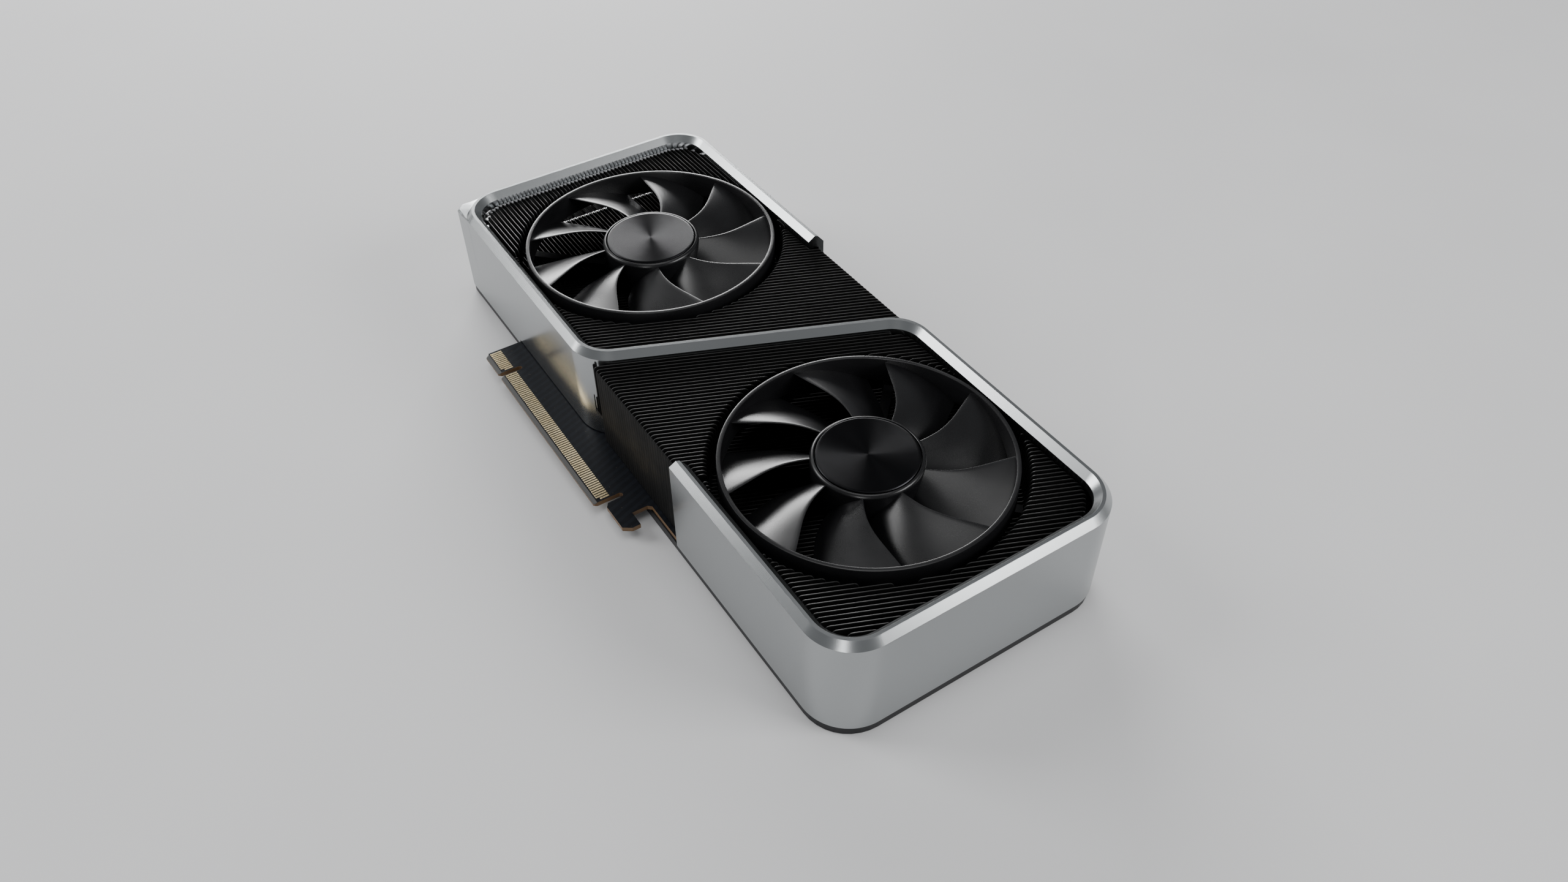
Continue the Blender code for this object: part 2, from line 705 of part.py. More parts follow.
def make_blade(turn):
    """One swept blade as a thin closed sheet, reaching a little way into the hub and the ring."""
    bm = bmesh.new()
    spans, chords = 4, 4
    sheets = []
    for lift in (0.0, -BLADE_THICK):
        sheet = []
        for i in range(spans + 1):
            radius = HUB_RADIUS - 0.9 + (RING_INNER + 0.6 - HUB_RADIUS + 0.9) * i / spans
            row = []
            for j in range(chords + 1):
                part = j / chords
                angle = turn + blade_angle(radius) - BLADE_CHORD * part
                thin = 0.55 + 0.9 * part * (1 - part)
                drop = (BLADE_TOP - BLADE_BOTTOM) * (0.75 * part + 0.25 * part * part)
                height = BLADE_TOP + lift * thin - drop
                row.append(bm.verts.new((radius * cos(angle), radius * sin(angle), height)))
            sheet.append(row)
        sheets.append(sheet)
    top, under = sheets
    for i in range(spans):
        for j in range(chords):
            bm.faces.new((top[i][j], top[i + 1][j], top[i + 1][j + 1], top[i][j + 1]))
            bm.faces.new((under[i][j], under[i][j + 1], under[i + 1][j + 1], under[i + 1][j]))
    for i in range(spans):
        bm.faces.new((top[i][0], under[i][0], under[i + 1][0], top[i + 1][0]))
        bm.faces.new((top[i][-1], top[i + 1][-1], under[i + 1][-1], under[i][-1]))
    for j in range(chords):
        bm.faces.new((top[0][j], top[0][j + 1], under[0][j + 1], under[0][j]))
        bm.faces.new((top[-1][j], under[-1][j], under[-1][j + 1], top[-1][j + 1]))
    bmesh.ops.triangulate(bm, faces=bm.faces)
    return bm


def make_rotor(name, place, turn):
    """Hub, nine blades and the thin outer ring, moulded in one piece that spins about its own origin."""
    crown = HUB_TOP - 1.5
    profile = [
        (0.0, crown - 1.6),
        (1.35, crown - 1.6),
        (1.35, crown - 4.2),
        (3.0, crown - 4.2),
        (3.0, crown - 2.2),
        (15.0, crown - 2.2),
        (15.0, HUB_BOTTOM),
        (HUB_RADIUS, HUB_BOTTOM),
        (HUB_RADIUS, HUB_TOP - 0.9),
        (HUB_RADIUS - 0.8, HUB_TOP),
        (CAP_RADIUS + GAP, HUB_TOP),
        (CAP_RADIUS + GAP, crown),
        (0.0, crown),
    ]
    hub = turned(profile, 32)
    rotor = to_object(name, hub)
    ring_profile = [
        (RING_INNER, RING_BOTTOM),
        (RING_OUTER, RING_BOTTOM),
        (RING_OUTER, RING_TOP),
        (RING_INNER, RING_TOP),
    ]
    ring = turned(ring_profile, 54)
    combine(rotor, to_object("ring", ring), "UNION")
    for index in range(BLADES):
        blade = make_blade(turn + 2 * pi * index / BLADES)
        combine(rotor, to_object("blade", blade), "UNION")
    return finish(rotor, BLACK_PLASTIC, 35, place)


def make_stator(name, place):
    """The motor's still core: nine T-shaped teeth round a hub."""
    right = [(5.2, 12), (10.8, 5), (10.8, 15), (13.3, 15)]
    tooth_shape = [(radius, -swing) for radius, swing in right] + right[::-1]
    outline = []
    for tooth in range(9):
        turn = 2 * pi * tooth / 9
        for radius, swing in tooth_shape:
            angle = turn + radians(swing)
            outline.append((place[0] + radius * cos(angle), place[1] + radius * sin(angle)))
    core = to_object(name, prism(outline, 26.6, 30.8))
    combine(core, to_object("bore", prism(circle(place, 3.2, 16), 20, 40)), "DIFFERENCE")
    return finish(core, COPPER)


def make_mount(name, place):
    """The fan's seat: a disc on four arms that reach out under the ring, just above the low fins."""
    low, high = FIN_LOW_TOP + GAP, 24.6
    mount = to_object(name, prism(circle(place, 15.4, 32), low, high))
    for index in range(4):
        turn = pi / 4 + index * pi / 2
        ahead = Vector((cos(turn), sin(turn)))
        side = Vector((-ahead.y, ahead.x)) * 1.6
        start = Vector(place) + ahead * 12.0
        end = Vector(place) + ahead * (FAN_WELL_RADIUS - 0.8)
        outline = [(start - side), (end - side), (end + side), (start + side)]
        arm = prism([(spot.x, spot.y) for spot in outline], low, high - 0.7)
        combine(mount, to_object("arm", arm), "UNION")
    return finish(mount, BLACK_PLASTIC, 30)


def make_fan(letter, place, turn):
    make_rotor(f"fan_{letter}_rotor", place, turn)
    crown = HUB_TOP - 1.5
    cap_profile = [
        (0.0, crown + GAP),
        (CAP_RADIUS, crown + GAP),
        (CAP_RADIUS, HUB_TOP - 0.1),
        (CAP_RADIUS - 0.3, HUB_TOP + 0.2),
        (0.0, HUB_TOP + 0.2),
    ]
    shaft_profile = [(0.0, 25.3), (SHAFT_RADIUS, 25.3), (SHAFT_RADIUS, 33.5), (0.0, 33.5)]
    spun = [
        ("cap", turned(cap_profile, 36), BLACK_METAL),
        ("magnet_ring", turned([(13.9, 26.8), (14.7, 26.8), (14.7, 32.8), (13.9, 32.8)], 24), CHIP_BLACK),
        ("shaft", turned(shaft_profile, 16), STEEL),
        ("bearing_tube", turned([(1.06, 24.9), (2.8, 24.9), (2.8, 30.8), (1.06, 30.8)], 16), NICKEL),
    ]
    for piece, bm, look in spun:
        finish(to_object(f"fan_{letter}_{piece}", bm), look, 35, place)
    make_stator(f"fan_{letter}_stator", place)
    make_mount(f"fan_{letter}_mount", place)


# ---------------------------------------------------------------- screws


def screw(name, centre, axis, radius, length):
    """A short countersunk screw with a slot, its head at the centre and its shank along the axis."""
    shank = radius * 0.55
    profile = [(0.0, 0.0), (radius, 0.0), (radius, 0.8), (shank, 0.8), (shank, length), (0.0, length)]
    bm = turned(profile, 12)
    turn = Vector((0, 0, 1)).rotation_difference(Vector(axis)).to_matrix().to_4x4()
    bmesh.ops.transform(bm, matrix=Matrix.Translation(centre) @ turn, verts=bm.verts)
    obj = to_object(name, bm)
    slot = block(-0.25, 0.25, -radius * 0.7, radius * 0.7, -1.0, 0.4)
    bmesh.ops.transform(slot, matrix=Matrix.Translation(centre) @ turn, verts=slot.verts)
    combine(obj, to_object("slot", slot), "DIFFERENCE")
    return finish(obj, STEEL, 35)


def round_cut(obj, centre, axis, radius, length):
    bm = turned([(0.0, -1.0), (radius, -1.0), (radius, length), (0.0, length)], 16)
    turn = Vector((0, 0, 1)).rotation_difference(Vector(axis)).to_matrix().to_4x4()
    bmesh.ops.transform(bm, matrix=Matrix.Translation(centre) @ turn, verts=bm.verts)
    combine(obj, to_object("cut", bm), "DIFFERENCE")


def fasten(frame, backplate):
    places = [(14.0, 9.0), (14.0, BODY_WIDTH - 9.0), (164.0, 10.0), (164.0, BODY_WIDTH - 10.0)]
    for index, (x, y) in enumerate(places):
        spot = Vector((x, y, 0.2))
        round_cut(backplate, spot, (0, 0, 1), 2.5, 1.4)
        screw(f"backplate_screw_{index + 1}", spot, (0, 0, 1), 2.2, 1.2)
    for index, y in enumerate((19.5, 36.8)):
        spot = Vector((CARD_LENGTH - 0.3, y, 8.2))
        round_cut(frame, spot, (-1, 0, 0), 1.5, 3.0)
        screw(f"end_screw_{index + 1}", spot, (-1, 0, 0), 1.2, 2.6)


def build():
    clear_scene()
    frame = make_frame()
    backplate = make_backplate()
    make_board()
    make_contact_strip("contacts_short", 46.9, 11)
    make_contact_strip("contacts_long", 60.4, 71)
    make_end_plate()
    for name, middle, half, tall in port_places():
        make_port(name, middle, half, tall)
    make_power_socket()
    make_side_panel("side_panel_contact_side", 109.4, 158.0, 2.0, 5.3, 34.2)
    make_side_panel("side_panel_top_side", 93.4, 138.6, BODY_WIDTH - 2.5, 13.4, 34.2)
    make_cooling()
    make_board_components()
    make_fan("a", FAN_A, radians(20.3))
    make_fan("b", FAN_B, 0.0)
    fasten(frame, backplate)
    finish(frame, SILVER, 32)
    finish(backplate, BLACK_METAL, 30)


build()
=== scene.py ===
"""Looks for the two-fan graphics card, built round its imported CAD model.

Shapes are drawn in card millimetres: x runs from the connector end to the far end, y from the slot-contact
side to the top side, z up from the back plate. to_piece() brings them to the model's own frame in metres.
"""

import json
from math import cos, pi, radians, sin, sqrt

import bmesh
import bpy
from mathutils import Matrix, Vector

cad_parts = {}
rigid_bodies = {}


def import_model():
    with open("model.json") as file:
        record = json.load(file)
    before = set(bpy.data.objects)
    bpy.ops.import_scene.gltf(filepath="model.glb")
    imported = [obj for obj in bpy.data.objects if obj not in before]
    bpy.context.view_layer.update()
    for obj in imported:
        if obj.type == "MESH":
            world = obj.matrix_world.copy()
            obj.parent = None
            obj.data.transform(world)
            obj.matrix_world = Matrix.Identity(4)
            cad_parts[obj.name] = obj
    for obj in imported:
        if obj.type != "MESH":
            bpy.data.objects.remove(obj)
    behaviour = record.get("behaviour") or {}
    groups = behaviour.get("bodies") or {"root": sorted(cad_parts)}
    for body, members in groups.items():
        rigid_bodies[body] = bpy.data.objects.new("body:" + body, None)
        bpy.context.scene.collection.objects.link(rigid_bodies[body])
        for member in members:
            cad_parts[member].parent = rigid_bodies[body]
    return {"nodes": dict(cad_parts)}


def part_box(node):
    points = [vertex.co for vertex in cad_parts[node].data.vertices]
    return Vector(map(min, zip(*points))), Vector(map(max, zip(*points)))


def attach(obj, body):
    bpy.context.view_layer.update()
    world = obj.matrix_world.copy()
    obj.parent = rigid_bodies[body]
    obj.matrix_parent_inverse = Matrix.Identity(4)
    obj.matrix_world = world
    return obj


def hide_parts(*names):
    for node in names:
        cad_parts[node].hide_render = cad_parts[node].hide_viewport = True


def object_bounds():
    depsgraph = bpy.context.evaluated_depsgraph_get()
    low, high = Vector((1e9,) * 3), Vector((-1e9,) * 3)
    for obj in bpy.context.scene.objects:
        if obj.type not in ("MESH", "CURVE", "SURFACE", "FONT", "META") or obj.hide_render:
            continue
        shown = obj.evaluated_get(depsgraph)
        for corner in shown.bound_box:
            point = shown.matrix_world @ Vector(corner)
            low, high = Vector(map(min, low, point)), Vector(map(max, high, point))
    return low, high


for leftover in list(bpy.data.objects):
    bpy.data.objects.remove(leftover, do_unlink=True)

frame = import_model()
cad_low, cad_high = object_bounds()

MM = 0.001
CARD_LENGTH = 242.0
BODY_WIDTH = 98.7
CARD_HEIGHT = 38.9
TONGUE_REACH = 13.9
ORIGIN = Vector((cad_low.x, cad_low.y + TONGUE_REACH * MM, cad_low.z))

# ---------------------------------------------------------------- helpers for shapes


def to_piece(name, bm, body, looks, smooth=None, place=(0.0, 0.0), stands_for=()):
    """A finished piece in the model's frame, riding on its CAD body."""
    bmesh.ops.recalc_face_normals(bm, faces=bm.faces)
    mesh = bpy.data.meshes.new(name)
    bm.to_mesh(mesh)
    bm.free()
    mesh.transform(Matrix.Scale(MM, 4))
    obj = bpy.data.objects.new(name, mesh)
    obj.location = ORIGIN + Vector((place[0], place[1], 0.0)) * MM
    bpy.context.scene.collection.objects.link(obj)
    for look in looks:
        mesh.materials.append(look)
    if smooth is not None:
        mesh.shade_smooth()
        mesh.set_sharp_from_angle(angle=radians(smooth))
    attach(obj, body)
    if stands_for:
        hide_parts(*stands_for)
    return obj


def soften(obj, width, segments=2, angle=30):
    """Rounds every crisp edge of a piece, so that it catches the light as a real edge does."""
    bevel = obj.modifiers.new("edges", "BEVEL")
    bevel.width = width * MM
    bevel.segments = segments
    bevel.limit_method = "ANGLE"
    bevel.angle_limit = radians(angle)
    bevel.harden_normals = True
    bevel.use_clamp_overlap = True
    bevel.loop_slide = False


def lathe(profile, steps):
    """A surface of revolution about the z axis through (radius, height) points, closed at the axis."""
    bm = bmesh.new()
    rings = []
    for radius, height in profile:
        if radius < 1e-6:
            rings.append([bm.verts.new((0, 0, height))])
            continue
        turns = [2 * pi * step / steps for step in range(steps)]
        rings.append([bm.verts.new((radius * cos(t), radius * sin(t), height)) for t in turns])
    for lower, upper in zip(rings, rings[1:]):
        for i in range(steps):
            j = (i + 1) % steps
            below = [lower[i % len(lower)], lower[j % len(lower)]]
            above = [upper[j % len(upper)], upper[i % len(upper)]]
            unique = list(dict.fromkeys(below + above))
            if len(unique) > 2:
                bm.faces.new(unique)
    return bm


def join_rings(bm, rings, look=0):
    """Quads between each ring of vertices and the next, in one look."""
    for ring, following in zip(rings, rings[1:]):
        for i in range(len(ring)):
            j = (i + 1) % len(ring)
            bm.faces.new((ring[i], ring[j], following[j], following[i])).material_index = look


def loft(rings):
    """Quads between rings of points, with flat ends."""
    bm = bmesh.new()
    rows = [[bm.verts.new(point) for point in ring] for ring in rings]
    join_rings(bm, rows)
    bm.faces.new(rows[0])
    bm.faces.new(rows[-1][::-1])
    return bm


def add_box(bm, low, high):
    """A box between two opposite corners."""
    made = bmesh.ops.create_cube(bm, size=1.0)["verts"]
    size = Vector(high) - Vector(low)
    bmesh.ops.scale(bm, vec=size, verts=made)
    bmesh.ops.translate(bm, vec=(Vector(high) + Vector(low)) / 2, verts=made)


def add_mesh(bm, extra):
    """Moves everything in one bmesh into another."""
    mesh = bpy.data.meshes.new("extra")
    extra.to_mesh(mesh)
    extra.free()
    bm.from_mesh(mesh)
    bpy.data.meshes.remove(mesh)


# ---------------------------------------------------------------- materials


class Look:
    """A material with its shader and short ways to add texture nodes."""

    def __init__(self, name, colour, roughness, metallic=0.0):
        self.material = bpy.data.materials.new(name)
        self.material.use_nodes = True
        self.nodes = self.material.node_tree.nodes
        self.links = self.material.node_tree.links
        self.shader = self.nodes["Principled BSDF"]
        self.shader.inputs["Base Color"].default_value = (*colour, 1.0)
        self.shader.inputs["Roughness"].default_value = roughness
        self.shader.inputs["Metallic"].default_value = metallic
        self.material.diffuse_color = (*colour, 1.0)
        self.coordinates = self.nodes.new("ShaderNodeTexCoord")

    def set(self, **values):
        for name, value in values.items():
            self.shader.inputs[name.replace("_", " ")].default_value = value

    def mapped(self, stretch):
        mapping = self.nodes.new("ShaderNodeMapping")
        mapping.inputs["Scale"].default_value = stretch
        self.links.new(self.coordinates.outputs["Object"], mapping.inputs["Vector"])
        return mapping.outputs["Vector"]

    def noise(self, scale, detail=3.0, stretch=(1.0, 1.0, 1.0)):
        """Noise with this many features per metre."""
        node = self.nodes.new("ShaderNodeTexNoise")
        node.inputs["Scale"].default_value = scale
        node.inputs["Detail"].default_value = detail
        self.links.new(self.mapped(stretch), node.inputs["Vector"])
        return node.outputs["Fac"]

    def spread(self, source, low, high, start=0.3, end=0.7):
        """Maps a factor onto the range low to high."""
        node = self.nodes.new("ShaderNodeMapRange")
        for name, value in (("From Min", start), ("From Max", end), ("To Min", low), ("To Max", high)):
            node.inputs[name].default_value = value
        self.links.new(source, node.inputs["Value"])
        return node.outputs["Result"]

    def blend(self, source, first, second):
        """Blends two colours by a factor."""
        node = self.nodes.new("ShaderNodeMix")
        node.data_type = "RGBA"
        for socket, value in ((node.inputs[6], first), (node.inputs[7], second)):
            if isinstance(value, tuple):
                socket.default_value = (*value, 1.0)
            else:
                self.links.new(value, socket)
        self.links.new(source, node.inputs[0])
        return node.outputs[2]

    def maths(self, operation, first, second=None):
        node = self.nodes.new("ShaderNodeMath")
        node.operation = operation
        for socket, value in zip(node.inputs, (first, second)):
            if value is None:
                continue
            if isinstance(value, (int, float)):
                socket.default_value = value
            else:
                self.links.new(value, socket)
        return node.outputs["Value"]

    def wave(self, scale, stretch=(1.0, 1.0, 1.0), kind="BANDS", direction="X", distortion=0.0):
        node = self.nodes.new("ShaderNodeTexWave")
        node.wave_type = kind
        if kind == "BANDS":
            node.bands_direction = direction
        else:
            node.rings_direction = direction
        node.inputs["Scale"].default_value = scale
        node.inputs["Distortion"].default_value = distortion
        self.links.new(self.mapped(stretch), node.inputs["Vector"])
        return node.outputs["Fac"]

    def cells(self, scale):
        """Distance to the middle of the nearest cell."""
        node = self.nodes.new("ShaderNodeTexVoronoi")
        node.inputs["Scale"].default_value = scale
        self.links.new(self.mapped((1.0, 1.0, 1.0)), node.inputs["Vector"])
        return node.outputs["Distance"]

    def facing_up(self):
        """1 where the surface faces up or down, 0 on its edges."""
        geometry = self.nodes.new("ShaderNodeNewGeometry")
        split = self.nodes.new("ShaderNodeSeparateXYZ")
        self.links.new(geometry.outputs["Normal"], split.inputs["Vector"])
        return self.maths("ABSOLUTE", split.outputs["Z"])

    def colour(self, source):
        self.links.new(source, self.shader.inputs["Base Color"])
        return self

    def rough(self, source):
        self.links.new(source, self.shader.inputs["Roughness"])
        return self

    def bump(self, source, height_mm, strength):
        """Adds relief of this height."""
        node = self.nodes.new("ShaderNodeBump")
        node.inputs["Distance"].default_value = height_mm * MM
        node.inputs["Strength"].default_value = strength
        self.links.new(source, node.inputs["Height"])
        self.links.new(node.outputs["Normal"], self.shader.inputs["Normal"])
        return self


def satin_aluminium(name="satin_aluminium", roughness=0.25):
    """Bead-blasted, clear-anodised aluminium: a very fine even grain."""
    look = Look(name, (0.41, 0.425, 0.43), roughness, 1.0)
    grain = look.noise(9000, 2)
    haze = look.noise(14, 2)
    look.colour(look.blend(look.spread(haze, 0, 1), (0.405, 0.42, 0.425), (0.425, 0.44, 0.445)))
    uneven = look.spread(haze, roughness - 0.01, roughness + 0.01)
    fine = look.spread(grain, -0.008, 0.008)
    look.rough(look.maths("ADD", uneven, fine))
    return look.bump(grain, 0.001, 0.06)


def moulded_black(name, colour=(0.0045, 0.0045, 0.005), roughness=0.29):
    """Glass-filled black plastic from a lightly textured mould, with faint flow marks."""
    look = Look(name, colour, roughness)
    flow = look.noise(60, 4, (1.0, 1.0, 3.0))
    lighter = tuple(value * 1.5 for value in colour)
    look.colour(look.blend(look.spread(flow, 0, 1), colour, lighter))
    speckle = look.noise(5200, 2)
    smears = look.spread(flow, roughness - 0.03, roughness + 0.04)
    look.rough(look.maths("ADD", smears, look.spread(speckle, -0.03, 0.05)))
    look.set(Specular_IOR_Level=0.4)
    return look.bump(speckle, 0.006, 0.2)


def black_fin_metal(name="fin_black", shade=0.010, roughness=0.36, metallic=0.4, gloss=0.4):
    """Black-plated sheet aluminium with faint streaks along the roll."""
    look = Look(name, (shade, shade, shade), roughness, metallic)
    streak = look.noise(500, 3, (1.0, 1.0, 0.12))
    paler = 2 * shade
    look.colour(look.blend(look.spread(streak, 0, 1), (shade, shade, shade), (paler, paler, paler)))
    look.rough(look.spread(look.noise(160, 3), roughness - 0.04, roughness + 0.05))
    look.set(Specular_IOR_Level=gloss)
    return look.bump(look.noise(2500, 2), 0.002, 0.12)


def anodised_black(name, roughness=0.42):
    """Black-anodised plate with a fine blasted grain."""
    look = Look(name, (0.021, 0.021, 0.023), roughness, 0.6)
    haze = look.noise(45, 5)
    look.colour(look.blend(look.spread(haze, 0, 1), (0.016, 0.016, 0.018), (0.028, 0.028, 0.03)))
    look.rough(look.spread(haze, roughness - 0.05, roughness + 0.07))
    return look.bump(look.noise(6500, 2), 0.008, 0.35)


def turned_black(name="turned_cap"):
    """Black metal disc faced on a lathe: fine concentric grooves that spread highlights into a cross."""
    look = Look(name, (0.017, 0.017, 0.018), 0.25, 1.0)
    look.set(Anisotropic=0.88)
    tangent = look.nodes.new("ShaderNodeTangent")
    tangent.direction_type = "RADIAL"
    tangent.axis = "Z"
    look.links.new(tangent.outputs["Tangent"], look.shader.inputs["Tangent"])
    grooves = look.wave(900, kind="RINGS", direction="Z")
    uneven = look.noise(300, 3)
    depth = look.spread(grooves, 0.2, 0.8, 0, 1)
    look.colour(look.blend(depth, (0.013, 0.013, 0.014), (0.022, 0.022, 0.024)))
    look.rough(look.spread(uneven, 0.24, 0.26))
    return look.bump(grooves, 0.0008, 0.06)


def solder_mask(name="solder_mask"):
    """Black solder mask over copper traces, with small plated holes and a brown routed edge."""
    look = Look(name, (0.006, 0.007, 0.01), 0.3)
    ripple = look.wave(230, (1.0, 0.35, 1.0), direction="DIAGONAL", distortion=1.2)
    traces = look.spread(ripple, 0, 1, 0.55, 0.62)
    holes = look.spread(look.cells(420), 1, 0, 0.05, 0.075)
    flat = look.blend(traces, (0.0035, 0.0042, 0.0065), (0.006, 0.0075, 0.011))
    flat = look.blend(holes, flat, (0.05, 0.04, 0.025))
    layers = look.spread(look.wave(1500, direction="Z", distortion=0.6), 0, 1, 0, 1)
    edge = look.blend(layers, (0.12, 0.066, 0.028), (0.21, 0.125, 0.055))
    up = look.spread(look.facing_up(), 0, 1, 0.45, 0.75)
    look.colour(look.blend(up, edge, flat))
    look.rough(look.spread(look.noise(900, 3), 0.38, 0.5))
    look.set(Specular_IOR_Level=0.22)
    return look.bump(traces, 0.02, 0.2)


def bare_laminate(name="bare_laminate"):
    """The ground lead-in edge of the contact tongue: grey glass fibre with a faint weave."""
    look = Look(name, (0.05, 0.05, 0.047), 0.55)
    weave = look.wave(520, direction="X", distortion=2.0)
    look.colour(look.blend(look.spread(weave, 0, 1, 0, 1), (0.034, 0.034, 0.033), (0.058, 0.057, 0.054)))
    return look.bump(weave, 0.02, 0.3)


def routed_edge(name="routed_edge"):
    """The routed side of the board: brown laminate in thin layers."""
    look = Look(name, (0.3, 0.17, 0.07), 0.42)
    layers = look.wave(1400, direction="Z", distortion=0.8)
    stains = look.noise(500, 3)
    look.colour(look.blend(look.spread(layers, 0, 1, 0, 1), (0.10, 0.054, 0.023), (0.18, 0.105, 0.046)))
    look.rough(look.spread(stains, 0.34, 0.5))
    return look.bump(layers, 0.02, 0.3)


def plated_metal(name, pale, deep, roughness, grain=1400, stretch=(1.0, 1.0, 1.0)):
    """Plated or drawn metal with a directional grain and slight tarnish."""
    look = Look(name, pale, roughness, 1.0)
    tarnish = look.noise(170, 4)
    streak = look.noise(grain, 3, stretch)
    look.colour(look.blend(look.spread(tarnish, 0, 1), pale, deep))
    look.rough(look.spread(streak, roughness - 0.05, roughness + 0.06))
    return look.bump(streak, 0.002, 0.12)


def chip_epoxy(name, colour=(0.018, 0.018, 0.019)):
    """Moulded chip packaging: matt black epoxy with a sandy grain."""
    look = Look(name, colour, 0.55)
    grain = look.noise(5000, 3)
    look.colour(look.blend(look.spread(grain, 0, 1), colour, tuple(v * 1.8 for v in colour)))
    look.rough(look.spread(grain, 0.48, 0.62))
    return look.bump(grain, 0.02, 0.4)


def polished_die(name="die_silicon"):
    """The bare silicon die: near-mirror grey with a faint cloudy tint."""
    look = Look(name, (0.24, 0.26, 0.30), 0.09, 0.7)
    cloud = look.noise(220, 2)
    look.colour(look.blend(look.spread(cloud, 0, 1), (0.21, 0.225, 0.26), (0.29, 0.30, 0.34)))
    return look.rough(look.spread(cloud, 0.07, 0.13))


def ferrite(name="inductor_ferrite"):
    """Pressed iron powder: warm dark grey with pits."""
    look = Look(name, (0.11, 0.11, 0.112), 0.6, 0.2)
    pits = look.noise(2600, 4)
    look.colour(look.blend(look.spread(pits, 0, 1), (0.075, 0.075, 0.078), (0.15, 0.15, 0.15)))
    look.rough(look.spread(pits, 0.52, 0.7))
    return look.bump(pits, 0.05, 0.5)


ALUMINIUM = satin_aluminium().material
FAN_BLACK = moulded_black("fan_black").material
SOCKET_BLACK = moulded_black("socket_black", (0.016, 0.016, 0.017), 0.45).material
FIN_BLACK = black_fin_metal().material
# The flat sides of the fins get a darker, matt copy of the same fin metal: painted shade for the shade that
# falls between the fins.
FIN_WALL_PAINTED_SHADE = black_fin_metal("fin_wall_painted_shade", 0.0025, 0.62, 0.0, 0.1).material
# The tabs are the black fin metal; this pale metal is a painted highlight for the light their curved bends
# catch.
FOLD_PAINTED_HIGHLIGHT = plated_metal("fold_painted_highlight", (0.66, 0.66, 0.67), (0.5, 0.5, 0.51), 0.34).material
# The folded fin ends along the sides get a darker, matt copy of the fin metal: painted shade, darker than
# the metal they are made of.
PANEL_PAINTED_SHADE = black_fin_metal("panel_painted_shade", 0.003, 0.6, 0.0, 0.12).material
PLATE_BLACK = anodised_black("plate_black").material
CAP_BLACK = turned_black().material
MASK = solder_mask().material
LAMINATE = bare_laminate().material
EDGE_BROWN = routed_edge().material
GOLD = plated_metal("contact_gold", (0.90, 0.75, 0.48), (0.83, 0.66, 0.38), 0.3).material
ALONG_X = (0.1, 1.0, 1.0)
ALONG_Y = (1.0, 0.05, 1.0)
COPPER = plated_metal("bare_copper", (0.80, 0.43, 0.28), (0.66, 0.32, 0.19), 0.3, stretch=ALONG_X).material
STEEL = plated_metal(
    "brushed_steel", (0.58, 0.58, 0.585), (0.5, 0.5, 0.505), 0.32, 2600, ALONG_Y
).material
NICKEL = plated_metal("socket_nickel", (0.66, 0.65, 0.62), (0.56, 0.545, 0.51), 0.28).material
SCREW_STEEL = plated_metal("screw_steel", (0.5, 0.5, 0.51), (0.4, 0.4, 0.41), 0.3).material
EPOXY = chip_epoxy("chip_epoxy").material
MAGNET = chip_epoxy("magnet_black", (0.03, 0.03, 0.031)).material
DIE = polished_die().material
FERRITE = ferrite().material

# ---------------------------------------------------------------- frame

BAR_HALF = 2.45
LAND_HALF = 0.51
SLOPE_DROP = 2.25
LIP_DROP = 4.9
RIB_DROP = 4.4
WALL = 1.6
CORNER_RADIUS = 12.3
SQUARE_CORNER = 2
SQUARE_CORNER_FILLET = 1.6
CORNER_STEPS = 36
FRAME_BOTTOM = 3.2
FRAME_OVER_BOARD = 5.3
CROSSBAR_SLOPE = 0.4298
CROSSBAR_X_AT_ZERO = 102.93
FRAME_END_A_X = 91.0
FRAME_END_B_X = 160.4


def crossbar_x(y):
    """Where the middle of the crossbar lies at this y."""
    return CROSSBAR_X_AT_ZERO + CROSSBAR_SLOPE * y


def frame_corners():
    """The corners of the frame's centre line, from one free end to the other."""
    low = BAR_HALF
    high = BODY_WIDTH - BAR_HALF
    right = CARD_LENGTH - BAR_HALF
    return [
        Vector((FRAME_END_A_X, high)),
        Vector((low, high)),
        Vector((low, low)),
        Vector((crossbar_x(low), low)),
        Vector((crossbar_x(high), high)),
        Vector((right, high)),
        Vector((right, low)),
        Vector((FRAME_END_B_X, low)),
    ]


def square_reach(turn, half_turn):
    """How far out of the corner's arc centre the square outer corner lies, on the ray at this turn."""
    reach = CORNER_RADIUS + BAR_HALF
    straight = reach / cos(min(turn, 2 * half_turn - turn))
    diagonal = (reach * 2**0.5 - SQUARE_CORNER_FILLET) / cos(turn - half_turn)
    return min(straight, diagonal) - CORNER_RADIUS


def corner_stations(before, corner, after, square):
    """Points, side directions and outer reach along one rounded corner of the frame's centre line."""
    incoming = (corner - before).normalized()
    outgoing = (after - corner).normalized()
    turn = incoming.angle(outgoing)
    side = 1 if incoming.x * outgoing.y - incoming.y * outgoing.x > 0 else -1
    start = corner - incoming * CORNER_RADIUS * (sin(turn / 2) / cos(turn / 2))
    centre = start + Vector((-incoming.y, incoming.x)) * side * CORNER_RADIUS
    stations = []
    for step in range(CORNER_STEPS + 1):
        part = turn * step / CORNER_STEPS
        arm = Matrix.Rotation(side * part, 2) @ (start - centre)
        reach = square_reach(part, turn / 2) if square else BAR_HALF
        stations.append((centre + arm, arm.normalized() * side, reach))
    return stations


def corner_bottoms(index, step, no_wall):
    """How far the wall hangs on each side at this corner: left of the bar, then right of it."""
    if index == SQUARE_CORNER and step < CORNER_STEPS / 2:
        return no_wall, no_wall
    if index in (1, 2):
        return FRAME_BOTTOM, no_wall
    if index == 3:
        return FRAME_OVER_BOARD, no_wall
    if index == 4:
        return no_wall, FRAME_OVER_BOARD
    return no_wall, FRAME_BOTTOM


